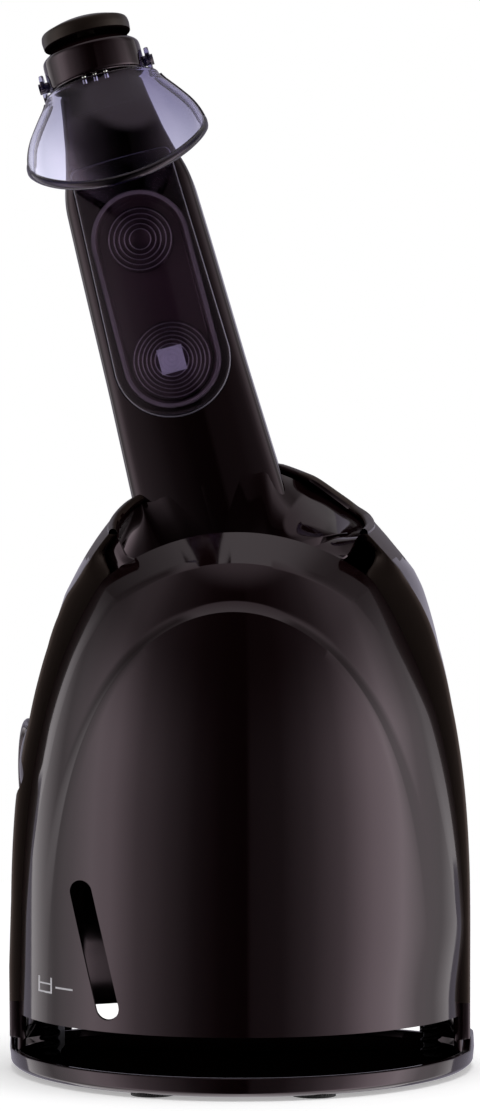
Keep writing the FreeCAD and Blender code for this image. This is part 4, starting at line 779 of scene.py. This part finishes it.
def arm_half_grid(ahead):
    """Rings of one half of the arm: sides, edges rounded by quadratic arcs, and the front or back face.

    The front is crowned and the back straight across; the two halves part at the middle with a gap."""
    w = np.linspace(ARM_FOOT, ARM_TOP, 150)
    end = np.clip(ARM_END - (ARM_TOP - w), 0, ARM_END)
    half = arm_side(w) - (ARM_END - np.sqrt(ARM_END ** 2 - end ** 2))
    h = half[:, None]
    t = np.linspace(0, 1, 9)[None, :]
    across = np.linspace(1, -1, 41)[None, 1:-1]
    way, split = (-1, -0.15) if ahead else (1, 0.15)

    def depth(u):
        """The depth of the half's outer face."""
        if ahead:
            return -ARM_FRONT + crown_drop(u)
        return np.interp(w, [-60, 0, 80, 117], [13, 14, 12, 8])[:, None] + 0 * u
    edge, inner = depth(h), depth(h - ARM_CORNER)
    round_u = (1 - t) ** 2 * h + 2 * t * (1 - t) * h + t * t * (h - ARM_CORNER)
    round_v = (1 - t) ** 2 * (edge - way * ARM_CORNER) + 2 * t * (1 - t) * edge + t * t * inner
    side_v = split + (edge - way * ARM_CORNER - split) * np.linspace(0, 1, 6)[None, :-1]
    face_u = (h - ARM_CORNER) * across
    u = np.concatenate([h + 0 * side_v, round_u, face_u, -round_u[:, ::-1], -h + 0 * side_v], axis=1)
    v = np.concatenate([side_v, round_v, depth(face_u), round_v[:, ::-1], side_v[:, ::-1]], axis=1)
    return arm_place(rows(u, v, w[:, None]))


def tongue_outline(grow, count=160):
    """The window's outline of (across, up): straight sides that narrow upwards and a round foot."""
    radius, corner = 17.4 + grow, 2.0
    top, top_half = 94.0 + grow, 15.3 + grow
    angle = np.linspace(-math.pi / 2, 0, 60)
    foot = rows(radius * np.cos(angle), LOWER_LIGHT + radius * np.sin(angle))
    turn_up = np.linspace(0, math.pi / 2, 12)
    head = rows(top_half - corner + corner * np.cos(turn_up), top - corner + corner * np.sin(turn_up))
    right = resample(np.concatenate([foot, head, [[0, top]]]), count)
    return np.concatenate([right, right[-2:0:-1] * np.array([-1, 1])])


def tongue_rings(grow, profile):
    """Nested rings of the window: each is the outline drawn in by an inset, at a depth behind the crown."""
    ring = tongue_outline(grow)
    middle = rows(0 * ring[:, 0], np.clip(ring[:, 1], 34, 84))
    away = ring - middle
    length = np.maximum(np.linalg.norm(away, axis=1, keepdims=True), 1e-6)
    grids = []
    for inset, depth in profile:
        flat = ring - away / length * np.minimum(inset, length)
        grids.append(arm_place(rows(flat[:, 0], -ARM_FRONT + crown_drop(flat[:, 0]) + depth, flat[:, 1])))
    return np.stack(grids)


def make_arm():
    """The arm's two halves: the front less the window's rebate and the lights' recess, the back less
    the screws' ways."""
    front = ring_solid("arm_front_skin", arm_half_grid(True), sharp=40)
    inside = [(inset, -3) for inset in (20, 12, 6, 0)] + [(inset, 1.6) for inset in (0, 6, 12, 20)]
    rebate = ring_solid("rebate", tongue_rings(0.12, inside), cap=False)
    recess = prism(stadium_outline(14.6, LOWER_LIGHT, UPPER_LIGHT), -20, -2, arm_place)
    front = carve(front, rebate, recess)
    add_piece("arm_front_skin", front, "housing", "gloss_black", ARM_GLOSS, ["arm_front"])
    back = ring_solid("arm_back_skin", arm_half_grid(False), sharp=40)
    sinks = []
    for level in (13, 74):
        face = np.interp(level, [0, 80], [14, 12])
        for radius, near in ((3.0, face - 1.7), (1.6, -1)):     # the screw's head and its shank
            sinks.append(prism(circle(radius, 48) + [0, level], near, 25, arm_place))
    add_piece("arm_back_skin", carve(back, *sinks), "housing", "gloss_black", GLOSS, ["arm_back"])


def make_window():
    """The smoked window: a tongue that follows the arm's crown, with a small polished chamfer."""
    face = [(20, 0.02), (12, 0.02), (6, 0.02), (1.2, 0.02), (0.45, 0.03), (0.22, 0.14), (0.04, 0.4)]
    back = [(0, 1.2), (0.25, 1.4), (6, 1.4), (12, 1.4), (20, 1.4)]
    mesh = ring_solid("smoked_window_skin", tongue_rings(0, face + back), sharp=50, cap=False)
    pane = add_piece("smoked_window_skin", mesh, "housing", "smoked_clear", WINDOW, ["smoked_window"])

    def chamfer(middle, normal):
        """The faces tilted against the crown's normal there, of those that look to the front: they take the
        painted highlight.
        """
        across = arm_local(middle)[:, 0] / ARM_CROWN
        turned = normal @ ARM_TURN
        level = turned[:, 0] * across - turned[:, 1] * np.sqrt(1 - across ** 2)
        return (level < 0.94) & (turned[:, 1] < -0.25)
    second_finish(pane, CHAMFER_PAINTED_HIGHLIGHT, chamfer)


def make_window_frame():
    """The tray behind the window: a profile of (inset, depth) carried round a stadium.

    Its rim follows the arm's crown, by a share that fades to nothing at the tray's floor."""
    ring = stadium_outline(TRAY_RADIUS, LOWER_LIGHT, UPPER_LIGHT, 48)
    middle = rows(0 * ring[:, 0], np.clip(ring[:, 1], LOWER_LIGHT, UPPER_LIGHT))
    away = (ring - middle) / TRAY_RADIUS
    fade = 3.6     # depth over which the share goes from all to nothing
    grids = []
    for inset, depth in TRAY_PROFILE:
        flat = ring - away * inset
        crown = crown_drop(flat[:, 0]) * np.clip((LENS_FOOT - depth) / fade, 0, 1)
        grids.append(arm_place(rows(flat[:, 0], -ARM_FRONT + depth + crown, flat[:, 1])))
    mesh = ring_solid("window_frame_skin", np.stack(grids), sharp=60, cap=False)
    tray = add_piece("window_frame_skin", mesh, "housing", "matte_black", TRAY, ["window_frame"])

    def lip(middle, normal):
        """The faces of the rim that look to the front, which take the painted highlight."""
        flat = arm_local(middle)
        depth = flat[:, 1] + ARM_FRONT - crown_drop(flat[:, 0])
        return (depth < 2.0) & (normal @ ARM_TURN[:, 1] < -0.2)
    second_finish(tray, LIP_PAINTED_HIGHLIGHT, lip)


def make_lenses():
    """Round lenses with fine raised rings: the height falls from each ridge to both sides."""
    for word, level, radius, ridges in LENSES:
        profile = [(0.01, LENS_FOOT), (radius, LENS_FOOT), (radius, 4.5), (radius - 0.2, 4.25)]
        for ridge in ridges:
            profile += [(ridge + out, depth) for out, depth in RIDGE]
        profile.append((0.01, 4.4))

        def lay(points, level=level):
            """Turned about the line that looks into the arm at the lens's level."""
            return arm_front_point(points[:, 0], points[:, 2], points[:, 1] + level)
        lens = turned_piece(word + "_lens_skin", profile, lay, "housing", "smoked_clear", LENS,
                            [word + "_lens"], sharp=60)
        # painted highlight on the ridges' tops
        second_finish(lens, RING_PAINTED_HIGHLIGHT, lambda middle, normal: arm_local(middle)[:, 1] + ARM_FRONT < 4.12)


def make_light_guide():
    """The square light guide: its face ripples in rings, a cosine of the radius, and falls at its edge."""
    half, pitch = 3.7, 1.25
    side = np.linspace(-half, half, 75)
    x, y = np.meshgrid(side, side, indexing="ij")
    rim = np.minimum(half - np.abs(x), half - np.abs(y))
    wave = 0.12 * (1 - np.cos(2 * math.pi * np.hypot(x, y) / pitch))
    face = 2.4 + wave * smooth(rim, 0, 0.3) + 0.25 * (1 - smooth(rim, -0.01, 0.35))
    points, quads = shell_parts(*[arm_front_point(x, depth, y + LOWER_LIGHT) for depth in (face, 4.15)])
    add_piece("light_guide_skin", make_mesh("light_guide_skin", points, quads, sharp=50), "housing",
              "light_white", PAINTED_GLOW_GUIDE, ["light_guide"])


# ---- head ----

def make_collar():
    """The collar: a ring wall with a roof between two balls, pierced in the middle for the cap's stem."""
    ball = ball_radius(COLLAR_RADIUS, COLLAR_RISE)
    over = np.linspace(13.4, 2.6, 14)
    top = rows(over, COLLAR_TOP - ball + np.sqrt(ball ** 2 - over ** 2))
    under = np.linspace(2.46, 12.2, 10)
    wall = 2
    roof = rows(under, COLLAR_TOP - ball + np.sqrt((ball - wall) ** 2 - under ** 2))
    outside = rounded([(12.6, 0.3), (13.2, 0.02), (14.0, 0.02), (COLLAR_RADIUS, 0.7), (COLLAR_RADIUS, 8.0),
                       (14.45, 8.9), (13.9, 9.5)], 0.7)
    profile = np.concatenate([outside, top, roof, [[12.6, 8.3]]])
    turned_piece("collar_skin", profile, head_place, "housing", "gloss_black", GLOSS, ["collar"], sharp=50)


def make_start_button():
    """The cap between two balls on the collar's centre, with a rounded edge, on its stem with a flange."""
    ball = ball_radius(COLLAR_RADIUS, COLLAR_RISE)
    centre = COLLAR_TOP - ball
    over, under = ball + 5.79, ball + 2
    out = np.linspace(0.01, 11.6, 14)
    top = rows(out, centre + np.sqrt(over ** 2 - out ** 2))
    edge = rounded([top[-1], (12.9, 17.0), (13.25, 15.4), (13.0, 12.9), (12.3, 12.75)], 0.8, 7)
    back = np.linspace(12.0, 2.5, 12)
    scoop = rows(back, centre + np.sqrt(under ** 2 - back ** 2))
    stem = [(2.4, 11.1), (4.0, 11.1), (4.0, 9.9), (2.4, 9.9), (2.4, 6.0), (0.01, 6.0)]
    profile = np.concatenate([top, edge[1:], scoop, stem])
    cap = turned_piece("start_button_skin", profile, head_place, "start_button", "satin_black", CAP,
                       ["start_button"], sharp=50)
    # painted shade: the cap's downward faces take the black that mirrors nothing
    second_finish(cap, MATTE_AND_SHADE_BLACK, lambda middle, normal: normal @ ARM_TURN[:, 2] < -0.2)


def hood_sizes(w):
    """The hood's half width and reach to the front at a level below the head, each table evened out."""
    steps = [w + step for step in (-2.5, -1.2, 0, 1.2, 2.5)]
    return [np.stack([np.interp(level, HOOD_LEVELS, table) for level in steps]).mean(axis=0)
            for table in (HOOD_HALVES, HOOD_REACHES)]


def make_hood():
    """The hood as a half bell: half ellipses round the front, whose hem hangs lowest in the middle.

    The hem's depth is a power of the cosine; a bead runs along it and a lug sits at each side."""
    wall, neck, off_middle = 1.4, -2.0, 0.7
    across = np.linspace(-1, 1, 121)
    angle = across * math.radians(91)
    hem = -20.0 - 15.6 * np.maximum(np.cos(angle), 0) ** 1.25 + 1.5 * smooth(np.abs(across), 0.85, 1)
    w = neck + (hem[:, None] - neck) * np.linspace(0, 1, 60)[None, :]
    half, reach = hood_sizes(w)
    a = angle[:, None]
    outer = head_place(rows(off_middle + half * np.sin(a), -reach * np.cos(a), w))
    inner = head_place(rows(off_middle + (half - wall) * np.sin(a), -(reach - wall) * np.cos(a), w - 0.2))
    down = head_place([(0, 0, -1)])[0] - head_place([(0, 0, 0)])[0]
    low_lift = np.zeros_like(outer[:, -1]) + down * 0.9
    points, quads = shell_parts(outer, inner, bulge=[-low_lift, low_lift, None, None])
    bell = make_mesh("bell", points, quads, sharp=50, weld=0.01)
    add_piece("hood_skin", bell, "hood", "smoked_clear", HOOD, ["hood"])
    edges = [np.concatenate([grid[0, 2:-1], grid[:, -1], grid[-1, -2:1:-1]]) for grid in (outer, inner)]
    bead = make_mesh("bead", *bead_along(*edges, 1.3), sharp=60)
    # painted shade: the hem's bead takes the nearly black acrylic
    add_piece("hood_edge_skin", bead, "hood", "smoked_clear", EDGE_PAINTED_SHADE)
    lug = [(1.7, 0.1), (3.7, 0.1), (3.9, 0.4), (3.9, 1.1), (3.7, 1.4), (1.7, 1.4)]
    for word, side in (("left", -1), ("right", 1)):

        def lay(points, side=side):
            """The lug stands across the collar's side and is drawn out downwards to a blunt drop."""
            low = np.minimum(points[:, 1], 0)
            drop = 2.5 + points[:, 1] * np.where(points[:, 1] < 0, 1.35, 1.0)
            return head_place(rows(side * (15.2 + points[:, 2]), points[:, 0] + 0.35 * low, drop))
        turned_piece("hood_lug_%s_skin" % word, lug, lay, "hood", "smoked_clear", HOOD, [], sharp=50)


def bead_along(outer, inner, radius):
    """A round bead carried along the edge of a wall: a circle whose axes are the wall and its normal."""
    middle = (outer + inner) / 2
    along = np.gradient(middle, axis=0)
    along /= np.linalg.norm(along, axis=1, keepdims=True)
    wide = outer - inner
    wide -= (wide * along).sum(axis=1, keepdims=True) * along
    wide /= np.linalg.norm(wide, axis=1, keepdims=True)
    high = np.cross(along, wide)
    angle = np.linspace(0, 2 * math.pi, 16, endpoint=False)[None, :, None]
    ring = np.cos(angle) * wide[:, None] + np.sin(angle) * high[:, None]
    grid = capped(middle[:, None] + radius * ring)
    return grid.reshape(-1, 3), grid_quads(*grid.shape[:2], wrap_cols=True)


# ---- wash bowl ----

def wing_edge(side):
    """The scoop's line inside a wing's rim, from the front back: the dome's plan at the rim's height."""
    y = np.array([-18, -12, -4, 5, 14, 21] + ([27, 31, 35] if side > 0 else []), float)
    z = wing_height(side, y)
    shrink, shrink_back = arch(z, CROWN), arch(z, BACK_CROWN)
    reach = np.where(y < PLAN_CENTRE, -BLUNT_REACH * shrink, BACK_REACH * shrink_back)
    depth = (y - PLAN_CENTRE) / reach
    x = HALF_WIDTH * shrink * np.sqrt(1 - np.clip(depth, 0, 1) ** 2)
    return rows(side * (x - 3.1), y + 0.5, z - 1.1)


def scoop_rim(count):
    """The scoop's top line: over the front lip, up the wings' inner edges and across the arm's face.

    Each knot has a mark in degrees round the scoop; the line is read off between the marks, then evened
    out except on the arm."""
    x = np.array([0, 10, 20, 27])
    lip = rows(x, -20.2, LIP_CENTRE + np.sqrt(LIP_RADIUS ** 2 - x ** 2) - 1.6)
    arm_u = np.array([19.5, 12, 0, -12, -19.5])
    arm_line = arm_place(rows(arm_u, -ARM_FRONT + crown_drop(arm_u) - 0.12, -6))
    right = np.concatenate([lip, [[31.0, -19.4, 147.0]], wing_edge(1)])
    left = np.concatenate([wing_edge(-1)[::-1], [[-31.0, -19.4, 147.0]], lip[:0:-1] * np.array([-1, 1, 1])])
    curve = np.concatenate([right, arm_line, left, right[:1]])
    mark = np.concatenate([np.linspace(0, 148, len(right)), np.linspace(158, 202, len(arm_line)),
                           np.linspace(212, 354, len(left)), [360]])
    at = np.linspace(0, 360, count, endpoint=False)
    line = np.stack([np.interp(at, mark, curve[:, k]) for k in range(3)], axis=1)
    even = line
    for _ in range(6):
        even = (np.roll(even, 1, 0) + 2 * even + np.roll(even, -1, 0)) / 4
    on_arm = (smooth(at, 156, 162) * (1 - smooth(at, 198, 204)))[:, None]
    return at, even * (1 - on_arm) + line * on_arm


def bowl_ring(w, phi):
    """Across and depth of the bowl's ellipse at a level, at angles from its back."""
    reach = bowl_reach(w)
    return bowl_half(w) * np.sin(phi), -ARM_FRONT - reach - reach * np.cos(phi)


def make_wash_bowl():
    """The scoop and bowl in one: from its rim each point glides to the ellipse of its level, and below
    that the ellipses close towards the drain. The wall stands along the normals."""
    at, rim = scoop_rim(240)
    phi = np.radians(at)
    top = arm_local(rim)
    inner = []
    for t in np.linspace(0, 1, 30):
        w = top[:, 2] + (-32.0 - top[:, 2]) * t
        ease = 1 - (1 - t) ** 1.7
        u, v = bowl_ring(w, phi)
        inner.append(rows(top[:, 0] + (u - top[:, 0]) * ease, top[:, 1] + (v - top[:, 1]) * ease, w))
    inner += [rows(*bowl_ring(w, phi), w) for w in np.linspace(-34, -60, 14)]
    reach, drain = bowl_reach(BOWL_FOOT), 4.0
    for share, w in ((0.95, -62.5), (0.86, -63.7), (0.7, -64.2), (0.45, -64.6), (0.2, -65.0), (0.0, -65.2)):
        centre = (1 - share) * -12.0
        half = bowl_half(BOWL_FOOT) * share + drain * (1 - share)
        deep = reach * share + drain * (1 - share)
        inner.append(rows(centre + half * np.sin(phi), -ARM_FRONT - reach - deep * np.cos(phi), w))
    inner = np.stack(inner, axis=1)
    normal = normals_of(np.concatenate([inner[-1:], inner, inner[:1]]))[1:-1]
    centre = np.array([0, -ARM_FRONT - 18.0, 40.0])
    normal *= np.sign(((inner - centre) * normal).sum())
    wall = 1.3 * np.clip(np.linspace(0, 8, inner.shape[1]) + 0.45, 0, 1)
    outer = inner + normal * wall[None, :, None]
    outer[:, 0] = inner[:, 0] + normal[:, 0] * 0.6
    points, quads = shell_parts(arm_place(outer), arm_place(inner), wrap=True)
    add_piece("wash_bowl_skin", make_mesh("wash_bowl_skin", points, quads, sharp=50), "housing",
              "gloss_black", GLOSS, ["wash_bowl"])


# ---- lift button ----

BUTTON_SPOT = (-60.3, 2.0, 86.5)
BUTTON_TURN = turn("Z", 180 + 15) @ turn("Y", 90)     # it looks to the left and 15 degrees to the front


def button_place(points):
    """Points of the side button's frame, whose upright axis looks out of the housing, in the part's own."""
    return place(points, BUTTON_SPOT, BUTTON_TURN)


def make_lift_button():
    """The bezel's rounded ring and the domed button with its stem."""
    ring = rounded([(11.5, -3.2), (13.95, -3.2), (13.95, 0.6), (13.4, 1.25), (12.2, 1.25), (11.5, 0.5),
                    (11.5, -3.2)], 0.35)
    turned_piece("lift_button_bezel_skin", ring, button_place, "housing", "gloss_black", GLOSS,
                 ["lift_button_bezel"], sharp=60)
    rim, rise, top = 11.2, 2.2, 2.6
    ball = ball_radius(rim, rise)
    out = np.linspace(0.01, 10.3, 16)
    dome = rows(out, top - ball + np.sqrt(ball ** 2 - out ** 2))
    edge = rounded([dome[-1], (11.0, 0.75), (rim, 0.2), (rim, -1.6)], 0.4)
    profile = np.concatenate([dome, edge[1:], [(2.6, -1.6), (2.6, -10.2), (0.01, -10.2)]])
    turned_piece("lift_button_skin", profile, button_place, "lift_button", "gloss_black", GLOSS,
                 ["lift_button"], sharp=50)


# ---- level slot and mark ----

def slot_cutter():
    """A stadium prism through the front shell, leaning with the slot."""
    lean = turn("Y", -14)
    return prism(stadium_outline(3.3, -16, 16), -90, 0, lambda points: place(points, (-38.3, 0, 39.0), lean))


def make_level_mark():
    """A small open tank with a level line beside it, printed on the shell: strokes of (x, z) to (x, z)."""
    strokes = [(-55.4, 29.8, -54.9, 25.4), (-55.4, 25.9, -51.0, 25.4), (-51.5, 29.8, -51.0, 25.4),
               (-54.9, 28.2, -51.5, 27.8), (-49.9, 27.6, -44.6, 27.1)]
    points, quads = np.zeros((0, 3)), []
    for x0, z0, x1, z1 in strokes:
        x, z = np.meshgrid(np.linspace(x0, x1, 8), np.linspace(z0, z1, 8), indexing="ij")
        more, more_quads = shell_parts(rows(x, face_y(x, z) - 0.05, z), rows(x, face_y(x, z) + 0.1, z))
        quads.append(more_quads + len(points))
        points = np.concatenate([points, more])
    mark = make_mesh("level_mark", points, np.concatenate(quads))
    add_piece("level_mark", mark, "housing", "light_white", PRINT)


# ---- base ----

def plan_point(angle, inset, z):
    """The plan at an angle from the front: front and back half ellipses, moved in by the inset."""
    reach = np.where(np.cos(angle) > 0, BASE_FRONT - inset, BASE_BACK - inset)
    return rows((BASE_HALF - inset) * np.sin(angle), PLAN_CENTRE - reach * np.cos(angle), z)


def make_base():
    """The tray: a profile of (reach, height) carried round the plan, its rim raised beside the columns."""
    profile = rounded([(40, 1.0), (65.2, 1.0), (66.6, 2.2), (BASE_HALF, 6.2), (66.0, 6.25), (65.9, 6.2),
                       (64.8, 6.2), (64.6, DECK_LEVEL), (40, DECK_LEVEL)], 0.5)
    profile = np.vstack([[0, 1.0], profile, [0, DECK_LEVEL]])
    angle = np.linspace(0, 2 * math.pi, 360, endpoint=False)[:, None]
    inset = BASE_HALF - profile[None, :, 0]
    z = profile[None, :, 1] + 0 * angle
    y = plan_point(angle, 0, 0)[..., 1]
    beside = smooth(y, 1.0, 2.6) * (1 - smooth(y, 35.4, 37))
    ear_rise = 3.6
    lift = beside * ear_rise * smooth(z, 5.9, 6.2) * (inset < 1.15)
    points = plan_point(angle, np.minimum(inset, BASE_HALF - 0.5), z + lift)
    quads = grid_quads(*points.shape[:2], wrap_rows=True)
    mesh = make_mesh("base_tray_skin", points.reshape(-1, 3), quads, sharp=32)
    tray = add_piece("base_tray_skin", mesh, "base", "gloss_black", GLOSS, ["base_tray"])
    # painted shade: the deck takes the black that mirrors nothing
    second_finish(tray, MATTE_AND_SHADE_BLACK, lambda middle, normal: np.abs(middle[:, 2] - DECK_LEVEL) < 0.15)


# ---- studio ----

IMAGE_HEIGHT = 1111
CAMERA_DISTANCE = 1.050  # in metres, as its height
CAMERA_HEIGHT = 0.147
CAMERA_YAW = 2.3         # degrees to the right of the front
VIEW_HEIGHT = IMAGE_HEIGHT * 0.285 * MM      # a pixel is 0.285 mm at the station

# How bright the surroundings are at an azimuth in degrees, 0 being towards the camera: two soft boxes at
# the sides, a narrow dark gap between them and a wide pale wall behind.
SOFT_BOXES = [(-180, 2.4), (-135, 1.5), (-112, 0.55), (-98, 1.1), (-84, 1.9), (-72, 1.8), (-56, 0.85),
              (-39, 0.4), (-23, 0.12), (-8, 0.02), (6, 0.0), (8, 0.1), (25, 0.14), (41, 0.42), (58, 1.0),
              (75, 2.3), (92, 2.9), (107, 1.2), (120, 0.8), (140, 1.5), (180, 2.4)]
OVERHEAD_GLOW = 0.85
PAPER_GRAIN_MM = 0.8


def make_camera():
    """A level camera at a distance, whose picture's height takes in so many millimetres there."""
    data = bpy.data.cameras.new("camera")
    data.sensor_fit = "VERTICAL"
    data.sensor_height = 36.0
    data.lens = data.sensor_height * CAMERA_DISTANCE / VIEW_HEIGHT
    data.clip_end = 20
    camera = bpy.data.objects.new("camera", data)
    yaw = math.radians(CAMERA_YAW)
    camera.location = (CAMERA_DISTANCE * math.sin(yaw), -CAMERA_DISTANCE * math.cos(yaw), CAMERA_HEIGHT)
    camera.rotation_euler = (math.pi / 2, 0, yaw)
    bpy.context.scene.collection.objects.link(camera)
    bpy.context.scene.camera = camera


def make_world():
    """The studio: dark towards the camera, bright soft boxes at both sides, a white backdrop behind.

    The glow round the station is read off SOFT_BOXES by the azimuth, goes over to OVERHEAD_GLOW near the
    top and falls with height. What looks back from the gloss sees a dim lavender halo instead of the
    backdrop, which only the camera and clear pieces see."""
    world = bpy.data.worlds.new("studio")
    bpy.context.scene.world = world
    world.use_nodes = True
    tree = world.node_tree
    tree.nodes.clear()
    where = add_node(tree, "TexCoord").outputs["Generated"]
    axes = add_node(tree, "SeparateXYZ", inputs={0: where}).outputs
    path = add_node(tree, "LightPath").outputs
    times, smoothly = {"operation": "MULTIPLY"}, {"interpolation_type": "SMOOTHSTEP"}
    ahead = add_node(tree, "Math", times, {0: axes["Y"], 1: -1})
    azimuth = add_node(tree, "Math", {"operation": "ARCTAN2"}, {0: axes["X"], 1: ahead})
    share = add_node(tree, "MapRange", inputs={"Value": azimuth, "From Min": -math.pi, "From Max": math.pi})
    ramp = add_node(tree, "ValToRGB", inputs={"Fac": share})
    elements = ramp.color_ramp.elements
    while len(elements) < len(SOFT_BOXES):
        elements.new(0.5)
    for element, (degrees, level) in zip(elements, SOFT_BOXES):
        element.position = (degrees + 180) / 360
        element.color = (level / 3, level / 3, level / 3, 1)
    height = add_node(tree, "MapRange", smoothly, {
        "Value": axes["Z"], "From Min": 0.15, "From Max": 0.56, "To Min": 3.0, "To Max": 0.72})
    overhead = add_node(tree, "MapRange", smoothly, {
        "Value": axes["Z"], "From Min": 0.80, "From Max": 0.90})
    around = add_node(tree, "Mix", {"data_type": "FLOAT"}, {0: overhead, 2: ramp, 3: OVERHEAD_GLOW})
    glow = add_node(tree, "Math", times, {0: around, 1: height})
    studio = add_node(tree, "Background", inputs={"Strength": glow, "Color": (1, 0.99, 1, 1)})
    backdrop, halo = [add_node(tree, "Background", inputs={"Strength": 1.0, "Color": colour})
                      for colour in ((1, 1, 1, 1), (0.36, 0.34, 0.41, 1))]
    back = add_node(tree, "Math", {"operation": "GREATER_THAN"}, {0: axes["Y"], 1: 0.7})
    mirrored = add_node(tree, "Math", times, {0: path["Is Glossy Ray"], 1: back})
    surroundings = add_node(tree, "MixShader", inputs={0: mirrored, 1: studio, 2: halo})
    through = add_node(tree, "Math", times, {0: path["Is Transmission Ray"], 1: back})
    seen = add_node(tree, "Math", {"operation": "ADD", "use_clamp": True}, {
        0: path["Is Camera Ray"], 1: through})
    mix = add_node(tree, "MixShader", inputs={0: seen, 1: surroundings, 2: backdrop})
    add_node(tree, "OutputWorld", inputs={"Surface": mix})


def make_floor():
    """A pale sheet under the station that keeps its shadow and glows a little for what looks at it."""
    mesh = bpy.data.meshes.new("floor")
    mesh.from_pydata([(-0.6, -0.17, 0), (0.6, -0.17, 0), (0.6, 0.6, 0), (-0.6, 0.6, 0)], [], [(0, 1, 2, 3)])
    floor = bpy.data.objects.new("floor", mesh)
    bpy.context.scene.collection.objects.link(floor)
    material, tree, surface, where = new_material("pale_paper_floor")
    paper = add_node(tree, "TexNoise", inputs={
        "Vector": where, "Scale": 1 / (PAPER_GRAIN_MM * MM), "Detail": 2.0})
    bump = add_node(tree, "Bump", inputs={"Height": paper, "Strength": 0.05, "Distance": 0.05 * MM})
    matt = add_node(tree, "BsdfDiffuse", inputs={"Normal": bump, "Color": linear("#f4f4f4")})
    path = add_node(tree, "LightPath").outputs
    clear = add_node(tree, "Math", {"operation": "ADD"}, {
        0: path["Is Camera Ray"], 1: path["Is Transmission Ray"]})
    seen = add_node(tree, "Math", {"operation": "ADD", "use_clamp": True}, {
        0: clear, 1: path["Is Glossy Ray"]})
    level = add_node(tree, "Math", {"operation": "MULTIPLY"}, {0: seen, 1: 0.35})
    glow = add_node(tree, "Emission", inputs={"Strength": level})
    total = add_node(tree, "AddShader", inputs={0: matt, 1: glow})
    tree.links.new(total.outputs[0], surface)
    mesh.materials.append(material)
    floor.visible_glossy = False


def make_lamp(name, location, target, width, height, power):
    """A rectangular soft box that looks at a target and shows in no mirror image."""
    data = bpy.data.lights.new(name, "AREA")
    data.shape = "RECTANGLE"
    data.size, data.size_y = width, height
    data.energy = power
    lamp = bpy.data.objects.new(name, data)
    lamp.location = location
    direction = Vector(target) - Vector(location)
    lamp.rotation_euler = direction.to_track_quat("-Z", "Y").to_euler()
    lamp.visible_glossy = False
    lamp.visible_transmission = False
    bpy.context.scene.collection.objects.link(lamp)


bpy.context.scene.view_settings.view_transform = "Standard"
dress_nodes()
sides = ("left", "right")
for node_name, body_name, slot_name, finish in (
        ("rubber_feet", "base", "foot_rubber", RUBBER),
        ("contact_block", "housing", "matte_black", MATTE_AND_SHADE_BLACK),
        *[("contact_pin_" + word, "contact_" + word, "contact_metal", CONTACT)
          for word in ("left", "middle", "right")],
        # painted shade: the clear hinge pins take the nearly black acrylic
        ("hinge_pins", "housing", "smoked_clear", EDGE_PAINTED_SHADE),
        ("arm_screws", "housing", "spring_steel", STEEL),
        ("housing_screws", "housing", "spring_steel", STEEL),
        ("power_socket", "housing", "matte_black", MATTE),
        # painted shade: the lift springs take the nearly black wire
        *[("lift_spring_" + word, "base", "spring_steel", STEEL_PAINTED_SHADE) for word in sides],
        *[("guide_column_" + word, "base", "matte_black", MATTE) for word in sides]):
    copy_node(node_name, body_name, slot_name, finish)
make_camera()
make_world()
make_floor()
make_lamp("top_softbox", (0.1, -0.15, 1.5), (0, 0, 0.1), 0.7, 0.5, 9)
make_front_shell()
make_rear_housing()
make_wash_bowl()
make_arm()
make_window()
make_window_frame()
make_lenses()
make_light_guide()
make_collar()
make_start_button()
make_hood()
make_lift_button()
make_level_mark()
make_base()
